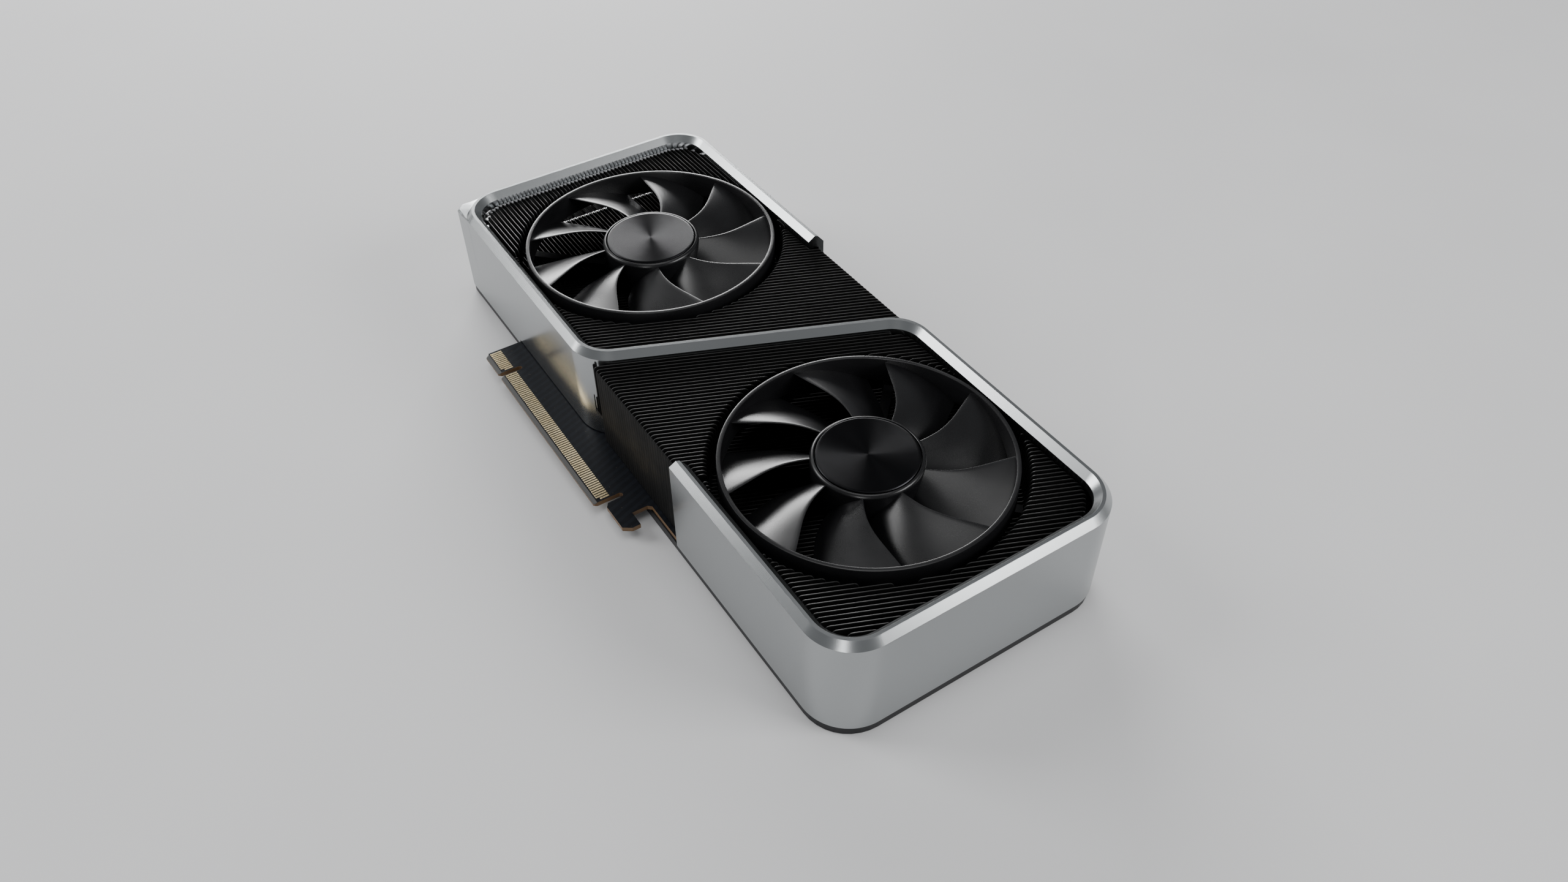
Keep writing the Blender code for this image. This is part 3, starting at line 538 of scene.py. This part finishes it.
def frame_stations():
    """Stations of the S-shaped centre line: point, rightward direction, outer reach and wall bottoms."""
    corners = frame_corners()
    cut = Vector((CROSSBAR_SLOPE, 1.0))
    no_wall = CARD_HEIGHT - LIP_DROP
    side = Vector((0, -1.0))
    high = BODY_WIDTH - BAR_HALF
    stations = [(corners[0], cut, BAR_HALF - 0.03, (FRAME_BOTTOM, no_wall))]
    for index in range(1, 7):
        square = index == SQUARE_CORNER
        group = corner_stations(corners[index - 1], corners[index], corners[index + 1], square)
        for step, (point, right, reach) in enumerate(group):
            stations.append((point, right, reach, corner_bottoms(index, step, no_wall)))
        if index == 1:
            last, right, reach, _ = stations[-1]
            stations.append((last + Vector((0, -0.4)), right, reach, (no_wall, no_wall)))
        if index == 2:
            stations.append((Vector((45.2, BAR_HALF)), side, BAR_HALF, (FRAME_BOTTOM, no_wall)))
            stations.append((Vector((45.6, BAR_HALF)), side, BAR_HALF, (FRAME_OVER_BOARD, no_wall)))
        if index == 4:
            stations.append((Vector((158.0, high)), side, BAR_HALF, (no_wall, FRAME_OVER_BOARD)))
            stations.append((Vector((158.4, high)), side, BAR_HALF, (no_wall, FRAME_BOTTOM)))
    stations.append((corners[7], cut, BAR_HALF - 0.03, (no_wall, FRAME_BOTTOM)))
    return stations


def frame_section(reach, bottoms):
    """The bar's section as (outward, height) points, walls included. Positive is the right-hand side."""
    top = CARD_HEIGHT
    shoulder = top - SLOPE_DROP
    rib = top - RIB_DROP
    inner = BAR_HALF - WALL
    shelf = reach - BAR_HALF
    chamfer = min(0.75, 0.3 * shelf)
    fall = max(0.12, 0.3 - shelf)
    return [
        (-BAR_HALF, shoulder),
        (-LAND_HALF, top),
        (LAND_HALF, top),
        (BAR_HALF, shoulder),
        (reach - chamfer, shoulder - fall),
        (reach, shoulder - fall - max(chamfer, 0.3)),
        (reach, bottoms[0]),
        (inner, bottoms[0]),
        (inner, rib),
        (-inner, rib),
        (-inner, bottoms[1]),
        (-BAR_HALF, bottoms[1]),
    ]


def make_frame():
    """The S-shaped bar and the walls that hang from it, as one sweep along the centre line."""
    rings = []
    for point, right, reach, bottoms in frame_stations():
        spots = [(point + right * out, height) for out, height in frame_section(reach, bottoms)]
        rings.append([(spot.x, spot.y, height) for spot, height in spots])
    bm = loft(rings)
    return to_piece("frame_shell", bm, "card", [ALUMINIUM], 26, stands_for=("frame",))


soften(make_frame(), 0.14, 2, 26)

# ---------------------------------------------------------------- cooling fins

FAN_A = (57.3, 49.5)
FAN_B = (186.1, 49.7)
FAN_WELL_RADIUS = 45.7
FIN_TOP = 35.5
FIN_LOW_TOP = 21.8
FIN_FOOT = 14.3
FIN_THICK = 0.34
FIN_FLOOR_THICK = 1.3
# Look index of the fin sides, which are painted in shade.
WALL_SHADE_LOOK = 1
# Look index of the folded tabs, painted with a highlight.
FOLD_HIGHLIGHT_LOOK = 2
LENGTHWISE_TIP_RADIUS = 3.2
DIAGONAL_TIP_RADIUS = 1.0
TAB_WIDTH = 1.15
TAB_RADIUS = 2.7
TAB_STEPS = 9
TAB_FIRST_TURN = 78
TAB_TURN_STEP = 13
LOW_TAB_INSET = 4.6
UNDERCUT_TOP = 28.5
LENGTHWISE_PITCH = 1.52
DIAGONAL_PITCH = 1.53
DIAGONAL_START = Vector((108.9, 2.6))
SIDE_LINE = 2.2
STACK_EDGE = 3.2
CORNER_CUT = 2.6
GAP = 0.3


def crossings(outline, start, ahead):
    """Where a straight line runs inside an outline, as (from, to) distances along the line."""
    found = []
    for first, second in zip(outline, outline[1:] + outline[:1]):
        edge = Vector(second) - Vector(first)
        to_first = Vector(first) - start
        spread = ahead.x * edge.y - ahead.y * edge.x
        if abs(spread) < 1e-9:
            continue
        along_edge = (to_first.x * ahead.y - to_first.y * ahead.x) / spread
        if 0 <= along_edge < 1:
            found.append((to_first.x * edge.y - to_first.y * edge.x) / spread)
    found.sort()
    return list(zip(found[::2], found[1::2]))


def chord(centre, radius, start, ahead):
    """Where a straight line runs inside a circle."""
    middle = (Vector(centre) - start).dot(ahead)
    away = (Vector(centre) - start - ahead * middle).length
    if away >= radius:
        return []
    half = sqrt(radius * radius - away * away)
    return [(middle - half, middle + half)]


def without(spans, holes):
    """The spans with the holes taken out."""
    for low, high in holes:
        kept = []
        for first, last in spans:
            if high <= first or low >= last:
                kept.append((first, last))
                continue
            if low > first:
                kept.append((first, low))
            if high < last:
                kept.append((high, last))
        spans = kept
    return [(first, last) for first, last in spans if last - first > 0.6]


def rounded(path, radii):
    """The closed path with each corner turned into an arc of up to the radius given for it."""
    points = []
    count = len(path)
    for i in range(count):
        here = Vector(path[i])
        before = Vector(path[i - 1]) - here
        after = Vector(path[(i + 1) % count]) - here
        reach = min(radii[i], before.length * 0.49, after.length * 0.49)
        if reach < 0.02:
            points.append(here)
            continue
        steps = 3 if reach < 1.2 else 6
        entry = here + before.normalized() * reach
        leave = here + after.normalized() * reach
        for step in range(steps + 1):
            part = step / steps
            share = sin(part * pi / 2), cos(part * pi / 2)
            points.append(here + (entry - here) * (1 - share[0]) + (leave - here) * (1 - share[1]))
    return points


def fin_profile(low_spans, high_spans, tip_radius):
    """Closed outlines of one fin seen from its side, as (distance, height) points."""
    outlines = []
    for start, end in low_spans:
        path = [(start, FIN_FOOT)]
        radii = [0.0]
        level = FIN_LOW_TOP
        inside = [(max(a, start), min(b, end)) for a, b in high_spans if b > start and a < end]
        position = start
        for first, last in inside:
            if first - position > 0.05:
                path += [(position, level), (first, level)]
                radii += [1.6, 0.5]
            at_rim = tip_radius == LENGTHWISE_TIP_RADIUS and first - start < 3.0
            tip = tip_radius if at_rim else 1.5
            if at_rim and last - first > 5.0:
                path += [(first, UNDERCUT_TOP), (first, FIN_TOP), (last, FIN_TOP), (last, UNDERCUT_TOP)]
                radii += [0.4, tip, 1.5, 0.3]
                hung = [Vector(point) for point in rounded(path[-4:], radii[-4:])]
                outlines.append(hung)
                path, radii = path[:-4], radii[:-4]
                continue
            path += [(first, FIN_TOP), (last, FIN_TOP)]
            radii += [tip, 1.5]
            position = last
        if end - position > 0.05:
            path += [(position, level), (end, level)]
            radii += [0.5, 1.6]
        path.append((end, FIN_FOOT))
        radii.append(0.0)
        outlines.append(rounded(path, radii))
    return outlines


def add_fin(bm, outline, start, ahead):
    """One sheet fin with rolled edges, standing along a line in plan."""
    across = Vector((-ahead.y, ahead.x))
    count = len(outline)
    normals = []
    for i in range(count):
        run = outline[(i + 1) % count] - outline[i - 1]
        normals.append(Vector((run.y, -run.x)).normalized() if run.length > 1e-6 else Vector((0, 0)))
    area = sum(a.x * b.y - b.x * a.y for a, b in zip(outline, outline[1:] + outline[:1]))
    inward = -1 if area > 0 else 1
    rings = []
    for side, shrink in ((-0.5, 0.19), (-0.38, 0.05), (0.0, 0.0), (0.38, 0.05), (0.5, 0.19)):
        ring = []
        for point, normal in zip(outline, normals):
            spot = point + normal * inward * shrink
            plan = start + ahead * spot.x + across * side * FIN_THICK
            ring.append(bm.verts.new((plan.x, plan.y, spot.y)))
        rings.append(ring)
    join_rings(bm, rings)
    # The two flat sides of the sheet take the darker copy of the fin metal, painted shade between the fins;
    # the rolled edges keep the fin metal's own colour.
    for side in (rings[0], rings[-1][::-1]):
        bm.faces.new(side).material_index = WALL_SHADE_LOOK


def diagonal_x(y, through):
    """Where the diagonal through this point lies at this y."""
    return through[0] + CROSSBAR_SLOPE * (y - through[1])


def offset_line(stations, out):
    """The frame's centre line moved sideways, in plan."""
    spots = [point + right * out for point, right, _, _ in stations]
    return [(spot.x, spot.y) for spot in spots]


def rim_band():
    """The strip in plan that the frame's bar takes up, with a gap on each side."""
    stations = frame_stations()
    reach = BAR_HALF + GAP
    return offset_line(stations, -reach) + offset_line(stations, reach)[::-1]


def add_tab(bm, tip, top, y):
    """The folded tab at the end of a lengthwise fin, curling down from its top edge, in pale metal as a
    painted highlight.
    """
    centre = Vector((tip + TAB_RADIUS, top - TAB_RADIUS))
    section = ((0.06, -1), (0.16, 0), (0.06, 1), (-0.2, 1), (-0.2, -1))
    rings = []
    for step in range(TAB_STEPS):
        turn = radians(TAB_FIRST_TURN + step * TAB_TURN_STEP)
        narrow = 0.5 * TAB_WIDTH * (0.35 + 0.65 * min(1.0, step / 2))
        ring = []
        for out, side in section:
            spot = centre + Vector((cos(turn), sin(turn))) * (TAB_RADIUS + out)
            ring.append(bm.verts.new((spot.x, y + side * narrow, spot.y)))
        rings.append(ring)
    join_rings(bm, rings, FOLD_HIGHLIGHT_LOOK)
    bm.faces.new(rings[0])
    bm.faces.new(rings[-1][::-1])


def make_fins(name, stands_for, low_outline, high_outline, fans, lines, ahead, tip_radius):
    """A stack of sheet fins trimmed to its outline, low under the fans and full height elsewhere."""
    bm = bmesh.new()
    rim = rim_band()
    for start in lines:
        low = [span for span in crossings(low_outline, start, ahead) if span[1] - span[0] > 1.5]
        high = crossings(high_outline, start, ahead)
        for fan in fans:
            high = without(high, chord(fan, FAN_WELL_RADIUS, start, ahead))
        high = without(high, crossings(rim, start, ahead))
        for outline in fin_profile(low, high, tip_radius):
            add_fin(bm, outline, start, ahead)
        if tip_radius == LENGTHWISE_TIP_RADIUS and high:
            add_tab(bm, start.x + high[0][0], FIN_TOP, start.y)
            add_tab(bm, start.x + low[0][0] + LOW_TAB_INSET, FIN_LOW_TOP - 0.2, start.y)
    floor = bmesh.new()
    face = floor.faces.new([floor.verts.new((x, y, FIN_FOOT)) for x, y in low_outline])
    grown = bmesh.ops.extrude_face_region(floor, geom=[face])["geom"]
    top = [item for item in grown if isinstance(item, bmesh.types.BMVert)]
    bmesh.ops.translate(floor, vec=Vector((0, 0, FIN_FLOOR_THICK)), verts=top)
    add_mesh(bm, floor)
    to_piece(name, bm, "card", [FIN_BLACK, FIN_WALL_PAINTED_SHADE, FOLD_PAINTED_HIGHLIGHT], 40, stands_for=(stands_for,))


def make_cooling_fins():
    """The three stacks: low is the outline of the whole stack, high that of its full-height part."""
    rim_clear = 2 * BAR_HALF + GAP + 0.05
    corner = CORNER_RADIUS + BAR_HALF
    high_y = BODY_WIDTH - SIDE_LINE
    far = CARD_LENGTH

    def split(y, fan, side, inset=0.0):
        return (diagonal_x(y, fan) + side * (0.2 + inset), y)

    lengthwise = Vector((1.0, 0.0))
    diagonal = Vector((CROSSBAR_SLOPE, 1.0)).normalized()
    half_count = int(BODY_WIDTH / 2 / LENGTHWISE_PITCH)
    places = range(-half_count, half_count + 1)
    rows = [Vector((0.0, BODY_WIDTH / 2 + LENGTHWISE_PITCH * k)) for k in places]
    step = DIAGONAL_PITCH / diagonal.y
    slants = [DIAGONAL_START + Vector((step * k, 0.0)) for k in range(-60, 84)]
    low = [
        (STACK_EDGE, corner),
        (corner, STACK_EDGE),
        split(STACK_EDGE, FAN_A, -1),
        split(high_y, FAN_A, -1),
        (corner, high_y),
        (STACK_EDGE, BODY_WIDTH - corner),
    ]
    high = [
        (rim_clear - 0.2, corner),
        (rim_clear + CORNER_CUT, rim_clear + CORNER_CUT),
        (corner, rim_clear),
        split(rim_clear, FAN_A, -1, GAP),
        split(BODY_WIDTH - rim_clear, FAN_A, -1, GAP),
        (corner, BODY_WIDTH - rim_clear),
        (rim_clear + CORNER_CUT, BODY_WIDTH - rim_clear - CORNER_CUT),
        (rim_clear - 0.2, BODY_WIDTH - corner),
    ]
    tip = LENGTHWISE_TIP_RADIUS
    make_fins("fins_connector_end", "fin_stack_connector_end", low, high, [FAN_A], rows, lengthwise, tip)
    low = [
        split(SIDE_LINE, FAN_A, 1),
        split(SIDE_LINE, FAN_B, -1),
        split(high_y, FAN_B, -1),
        split(high_y, FAN_A, 1),
    ]
    high = [
        split(rim_clear, FAN_A, 1, GAP),
        (crossbar_x(STACK_EDGE) - 4.0, rim_clear),
        (crossbar_x(STACK_EDGE) + 2.2, SIDE_LINE),
        (FRAME_END_B_X - 1.6, SIDE_LINE),
        (FRAME_END_B_X - 0.8, rim_clear),
        split(rim_clear, FAN_B, -1, GAP),
        split(BODY_WIDTH - rim_clear, FAN_B, -1, GAP),
        (crossbar_x(high_y) + 4.0, BODY_WIDTH - rim_clear),
        (crossbar_x(high_y) - 2.2, high_y),
        (FRAME_END_A_X + 2.4, high_y),
        (FRAME_END_A_X + 0.6, BODY_WIDTH - rim_clear),
        split(BODY_WIDTH - rim_clear, FAN_A, 1, GAP),
    ]
    tip = DIAGONAL_TIP_RADIUS
    make_fins("fins_middle", "fin_stack_middle", low, high, [FAN_A, FAN_B], slants, diagonal, tip)
    low = [
        split(STACK_EDGE, FAN_B, 1),
        (far - corner, STACK_EDGE),
        (far - STACK_EDGE, corner),
        (far - STACK_EDGE, BODY_WIDTH - corner),
        (far - corner, BODY_WIDTH - STACK_EDGE),
        split(BODY_WIDTH - STACK_EDGE, FAN_B, 1),
    ]
    high = [
        split(rim_clear, FAN_B, 1, GAP),
        (far - corner, rim_clear),
        (far - rim_clear - CORNER_CUT, rim_clear + CORNER_CUT),
        (far - rim_clear, corner),
        (far - rim_clear, BODY_WIDTH - corner),
        (far - rim_clear - CORNER_CUT, BODY_WIDTH - rim_clear - CORNER_CUT),
        (far - corner, BODY_WIDTH - rim_clear),
        split(BODY_WIDTH - rim_clear, FAN_B, 1, GAP),
    ]
    make_fins("fins_far_end", "fin_stack_far_end", low, high, [FAN_B], slants, diagonal, tip)


make_cooling_fins()


def make_side_wall(name, node, x0, x1, face_y, outward, top):
    """The folded ends of the fins: one narrow lapped strip for each fin, rounded over at the top, in a
    darker copy of the fin metal as painted shade.
    """
    pitch = DIAGONAL_PITCH / Vector((CROSSBAR_SLOPE, 1.0)).normalized().y
    lap = 0.04
    bend = 0.12
    thick = 0.5
    low_corner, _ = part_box(node)
    bottom = (low_corner.z - ORIGIN.z) / MM
    bm = bmesh.new()
    start = x0
    while start < x1:
        end = min(start + pitch - 0.05, x1)
        back = face_y - outward * thick
        front = [
            (start, face_y),
            (start + bend, face_y + outward * lap),
            (end - bend, face_y + outward * lap * 0.6),
            (end, face_y),
        ]
        rings = []
        for height, inset in ((bottom, 0.0), (top - 0.5, 0.0), (top - 0.15, 0.12), (top, 0.35)):
            section = [(x, y - outward * inset) for x, y in front] + [(end, back), (start, back)]
            rings.append([bm.verts.new((x, y, height)) for x, y in section])
        join_rings(bm, rings)
        bm.faces.new(rings[0])
        bm.faces.new(rings[-1][::-1])
        start += pitch
    to_piece(name, bm, "card", [PANEL_PAINTED_SHADE], 40, stands_for=(node,))


SIDE_WALL_TOP = 34.6
SIDE_WALL_INSET = 2.15
make_side_wall(
    "side_wall_contact_side", "side_panel_contact_side", 108.6, 158.6, SIDE_WALL_INSET, -1, SIDE_WALL_TOP
)
make_side_wall(
    "side_wall_top_side", "side_panel_top_side", 92.8, 140.2, BODY_WIDTH - SIDE_WALL_INSET, 1, SIDE_WALL_TOP
)

# ---------------------------------------------------------------- fans

RING_OUTER = 43.2
RING_INNER = 41.8
RING_TOP = 37.2
RING_BOTTOM = 28.6
HUB_RADIUS = 16.7
HUB_TOP = 36.9
HUB_BOTTOM = 26.4
CAP_RADIUS = 15.2
BLADES = 9
BLADE_TOP = 36.0
BLADE_DROP = 8.4
BLADE_CHORD = radians(33)
BLADE_SWEEP = radians(17.4)
BLADE_SPANS = 18
BLADE_ROOT = 0.5
BLADE_END = 0.6
CAP_DISH = 0.06
FAN_A_TURN = radians(20.3)
FAN_B_TURN = 0.0


def blade_lead(radius):
    """How far round the leading edge lies at this radius: a shallow S from hub to ring."""
    share = (radius - 17.0) / 25.7
    return BLADE_SWEEP * (share - 0.045 * sin(2 * pi * share))


def blade_section(radius, turn):
    """One closed section of a blade at this radius, with a rounded leading edge and a thin trailing one."""
    share = (radius - HUB_RADIUS) / (RING_INNER - HUB_RADIUS)
    lead = turn + blade_lead(radius)
    drop = BLADE_DROP * (1.0 - 0.10 * share)
    parts = [0.0, 0.012, 0.04, 0.09, 0.16, 0.25, 0.36, 0.48, 0.60, 0.72, 0.83, 0.92, 1.0]
    upper, lower = [], []
    for part in parts:
        angle = lead - BLADE_CHORD * part
        height = BLADE_TOP - 0.15 - drop * (0.55 * part + 0.45 * part * part)
        nose = min(1.0, sqrt(part / 0.04 + 0.02))
        thick = nose * (0.62 + 1.5 * part * (1 - part)) * (1 - 0.45 * part)
        upper.append((radius * cos(angle), radius * sin(angle), height + thick * 0.35))
        lower.append((radius * cos(angle), radius * sin(angle), height - thick * 0.65))
    return upper + lower[::-1]


def make_impeller(letter, place, turn):
    """Hub, nine swept blades and the thin outer ring, moulded in one piece."""
    hub = [
        (2.0, HUB_TOP - 5.0),
        (15.0, HUB_TOP - 5.0),
        (15.0, HUB_BOTTOM + 0.2),
        (15.3, HUB_BOTTOM),
        (HUB_RADIUS - 0.3, HUB_BOTTOM),
        (HUB_RADIUS, HUB_BOTTOM + 0.3),
        (HUB_RADIUS, HUB_TOP - 1.25),
        (HUB_RADIUS - 0.07, HUB_TOP - 0.85),
        (HUB_RADIUS - 0.3, HUB_TOP - 0.4),
        (HUB_RADIUS - 0.62, HUB_TOP - 0.1),
        (HUB_RADIUS - 0.9, HUB_TOP),
        (CAP_RADIUS + 0.42, HUB_TOP),
        (CAP_RADIUS + 0.3, HUB_TOP - 0.12),
        (CAP_RADIUS + 0.3, HUB_TOP - 1.4),
        (0.0, HUB_TOP - 1.4),
    ]
    bm = lathe(hub, 120)
    ring = [
        (RING_INNER, RING_BOTTOM + 0.15),
        (RING_INNER, RING_TOP - 0.3),
        (RING_INNER + 0.1, RING_TOP - 0.08),
        (RING_INNER + 0.28, RING_TOP),
        (RING_OUTER - 0.28, RING_TOP),
        (RING_OUTER - 0.1, RING_TOP - 0.08),
        (RING_OUTER, RING_TOP - 0.3),
        (RING_OUTER, RING_BOTTOM + 0.15),
        (RING_OUTER - 0.15, RING_BOTTOM),
        (RING_INNER + 0.15, RING_BOTTOM),
        (RING_INNER, RING_BOTTOM + 0.15),
    ]
    pieces = [lathe(ring, 160)]
    root = HUB_RADIUS - BLADE_ROOT
    span = RING_INNER + BLADE_END - root
    for index in range(BLADES):
        base = turn + 2 * pi * index / BLADES
        radii = [root + span * i / BLADE_SPANS for i in range(BLADE_SPANS + 1)]
        sections = [blade_section(radius, base) for radius in radii]
        pieces.append(loft(sections))
    for extra in pieces:
        add_mesh(bm, extra)
    bmesh.ops.remove_doubles(bm, verts=bm.verts, dist=0.001)
    body = f"fan_{letter}"
    to_piece(f"{body}_impeller", bm, body, [FAN_BLACK], 38, place, (f"{body}_rotor",))


def make_cap(letter, place):
    """The turned cap let into the hub, faintly dished, with a bright chamfer round it."""
    top = HUB_TOP + 0.2
    profile = [(0.0, top - CAP_DISH)]
    for radius in (0.35, 1.5, 3.5, 6, 9, 12, 14.3):
        profile.append((radius, top - CAP_DISH * (1 - (radius / CAP_RADIUS) ** 2)))
    profile += [(CAP_RADIUS - 0.32, top), (CAP_RADIUS - 0.22, top - 0.03), (CAP_RADIUS - 0.02, top - 0.25)]
    profile += [(CAP_RADIUS, top - 0.35), (CAP_RADIUS, top - 1.2), (0.0, top - 1.2)]
    bm = lathe(profile, 128)
    body = f"fan_{letter}"
    to_piece(f"{body}_turned_cap", bm, body, [CAP_BLACK], 30, place, (f"{body}_cap",))


for fan_letter, fan_place, fan_turn in (("a", FAN_A, FAN_A_TURN), ("b", FAN_B, FAN_B_TURN)):
    make_impeller(fan_letter, fan_place, fan_turn)
    make_cap(fan_letter, fan_place)

# ---------------------------------------------------------------- board and contacts

BOARD_BOTTOM = 3.3
BOARD_TOP = 4.87
BOARD_CHAMFER = 0.42
MASK_LOOK, EDGE_LOOK, LAMINATE_LOOK = range(3)
FINGER_WIDTH = 0.64
FINGER_ROOT_Y = -8.1
LAST_FINGER_SHORTER = 1.1


def board_outline():
    """The board seen from above: contact tongue with its key slot, then the retention hook beside it."""
    tip = -TONGUE_REACH
    return [
        (3.0, 12.0),
        (12.0, 3.0),
        (46.0, 3.0),
        (46.0, tip + 1.4),
        (47.3, tip),
        (57.65, tip),
        (58.15, tip + 0.5),
        (58.15, -6.4),
        (58.5, -5.7),
        (59.1, -5.45),
        (59.7, -5.7),
        (60.05, -6.4),
        (60.05, tip + 0.5),
        (60.55, tip),
        (131.2, tip),
        (131.7, tip + 0.5),
        (131.7, -5.0),
        (132.2, -4.4),
        (133.1, -4.4),
        (133.6, -5.0),
        (133.6, -9.9),
        (135.1, -11.0),
        (145.2, -11.0),
        (147.0, -8.4),
        (147.0, -5.6),
        (141.4, -5.6),
        (141.4, -0.3),
        (142.5, 0.8),
        (158.6, 0.8),
        (158.6, 3.0),
        (170.0, 3.0),
        (170.0, BODY_WIDTH - 3.0),
        (12.0, BODY_WIDTH - 3.0),
        (3.0, BODY_WIDTH - 12.0),
    ]


def make_board():
    """The board with its ground lead-in at the contact tips and its brown routed edge."""
    outline = board_outline()
    lead_in = -TONGUE_REACH + 1.25
    tips = [y < -TONGUE_REACH + 0.6 for _, y in outline]
    levels = (
        (BOARD_BOTTOM, True),
        (BOARD_BOTTOM + BOARD_CHAMFER, False),
        (BOARD_TOP - BOARD_CHAMFER, False),
        (BOARD_TOP, True),
    )
    rings = []
    for height, ground in levels:
        ring = []
        for (x, y), tip in zip(outline, tips):
            ring.append((x, max(y, lead_in) if ground and tip else y, height))
        rings.append(ring)
    bm = loft(rings)
    for face in bm.faces:
        centre = face.calc_center_median()
        flat = all(abs(v.co.z - face.verts[0].co.z) < 1e-6 for v in face.verts)
        at_tip = centre.y < lead_in and abs(centre.z - (BOARD_TOP + BOARD_BOTTOM) / 2) > 0.4
        edge = LAMINATE_LOOK if at_tip else EDGE_LOOK
        face.material_index = MASK_LOOK if flat else edge
    to_piece("board", bm, "card", [MASK, EDGE_BROWN, LAMINATE], stands_for=("circuit_board",))


def make_contacts(name, node, first, count):
    """Separate gold fingers on both faces of the tongue, each with slightly rounded edges."""
    bm = bmesh.new()
    low = -TONGUE_REACH + 1.7
    for index in range(count):
        left = first + index
        start = low + LAST_FINGER_SHORTER if index == count - 1 else low
        upper = (BOARD_TOP - 0.02, BOARD_TOP + 0.12)
        lower = (BOARD_BOTTOM - 0.08, BOARD_BOTTOM + 0.02)
        for bottom, top in (upper, lower):
            add_box(bm, (left, start, bottom), (left + FINGER_WIDTH, FINGER_ROOT_Y, top))
    bmesh.ops.bevel(bm, geom=bm.edges[:], offset=0.035, segments=1, affect="EDGES")
    to_piece(name, bm, "card", [GOLD], 20, stands_for=(node,))


make_board()
make_contacts("fingers_short", "contacts_short", 46.9, 11)
make_contacts("fingers_long", "contacts_long", 60.4, 71)

# ---------------------------------------------------------------- looks of the pieces carried over

CARRIED = {
    "backplate": PLATE_BLACK,
    "backplate_screw": SCREW_STEEL,
    "end_screw": SCREW_STEEL,
    "end_plate": STEEL,
    "displayport_socket": NICKEL,
    "hdmi_socket": NICKEL,
    "power_socket": SOCKET_BLACK,
    "cold_plate": COPPER,
    "heat_pipe": COPPER,
    "gpu_package": EPOXY,
    "gpu_die": DIE,
    "memory_chip": EPOXY,
    "inductor": FERRITE,
    "fan_header": SOCKET_BLACK,
    "fan_a_magnet_ring": MAGNET,
    "fan_b_magnet_ring": MAGNET,
    "fan_a_shaft": STEEL,
    "fan_b_shaft": STEEL,
    "fan_a_bearing_tube": NICKEL,
    "fan_b_bearing_tube": NICKEL,
    "fan_a_stator": COPPER,
    "fan_b_stator": COPPER,
    "fan_a_mount": FAN_BLACK,
    "fan_b_mount": FAN_BLACK,
}

for node_name, node in frame["nodes"].items():
    if node.hide_render:
        continue
    key = max((known for known in CARRIED if node_name.startswith(known)), key=len, default="")
    for material_slot in node.material_slots:
        material_slot.material = CARRIED[key]

for node_name in ("backplate", "power_socket", "end_plate", "hdmi_socket"):
    soften(frame["nodes"][node_name], 0.12)
for index in range(3):
    soften(frame["nodes"][f"displayport_socket_{index + 1}"], 0.12)

# ---------------------------------------------------------------- floor, lights and camera


def make_floor():
    """A pale painted floor just under the card."""
    bpy.ops.mesh.primitive_plane_add(size=9.0, location=(0, 0, cad_low.z - 0.0002))
    floor = bpy.context.active_object
    floor.name = "floor"
    look = Look("floor_paint", (0.62, 0.62, 0.625), 0.7)
    cloud = look.noise(6, 3)
    look.colour(look.blend(look.spread(cloud, 0, 1), (0.60, 0.60, 0.605), (0.64, 0.64, 0.645)))
    look.rough(look.spread(cloud, 0.66, 0.76))
    floor.data.materials.append(look.material)


def softbox(name, place, target, width, depth, power):
    """A rectangular studio lamp turned towards its target."""
    data = bpy.data.lights.new(name, "AREA")
    data.shape = "RECTANGLE"
    data.size = width
    data.size_y = depth
    data.energy = power
    lamp = bpy.data.objects.new(name, data)
    lamp.location = place
    away = Vector(place) - Vector(target)
    lamp.rotation_euler = away.to_track_quat("Z", "Y").to_euler()
    bpy.context.scene.collection.objects.link(lamp)


def make_world():
    """Dim, even light from all round."""
    world = bpy.data.worlds.new("studio")
    world.use_nodes = True
    background = world.node_tree.nodes["Background"]
    background.inputs["Color"].default_value = (0.9, 0.92, 0.95, 1.0)
    background.inputs["Strength"].default_value = 0.24
    bpy.context.scene.world = world


def make_camera():
    """The camera, seeing the far end and the slot-contact side from above."""
    data = bpy.data.cameras.new("camera")
    data.sensor_width = 36.0
    data.lens = 27.587
    data.clip_start = 0.01
    data.clip_end = 20.0
    camera = bpy.data.objects.new("camera", data)
    right = Vector((0.544119, 0.838968, -0.008148))
    up = Vector((-0.581035, 0.383805, 0.717698))
    back = Vector((0.605254, -0.385779, 0.696306))
    turn = Matrix((right, up, back)).transposed().to_4x4()
    camera.matrix_world = Matrix.Translation((0.256287, -0.142762, 0.277190)) @ turn
    bpy.context.scene.collection.objects.link(camera)
    bpy.context.scene.camera = camera


make_floor()
make_world()
MIDDLE_OF_CARD = (0, 0, 0.02)
softbox("back_softbox", (-1.3, 0.48, 0.42), MIDDLE_OF_CARD, 0.9, 0.36, 22)
softbox("left_softbox", (-0.92, -0.88, 0.78), MIDDLE_OF_CARD, 0.55, 0.95, 13)
softbox("right_softbox", (1.0, 0.8, 0.7), MIDDLE_OF_CARD, 0.7, 0.5, 13)
softbox("front_strip", (1.0, -1.0, 0.4), MIDDLE_OF_CARD, 0.25, 0.6, 4)
softbox("overhead", (0.1, 0.0, 1.6), (0, 0, 0), 1.0, 1.0, 8)
make_camera()
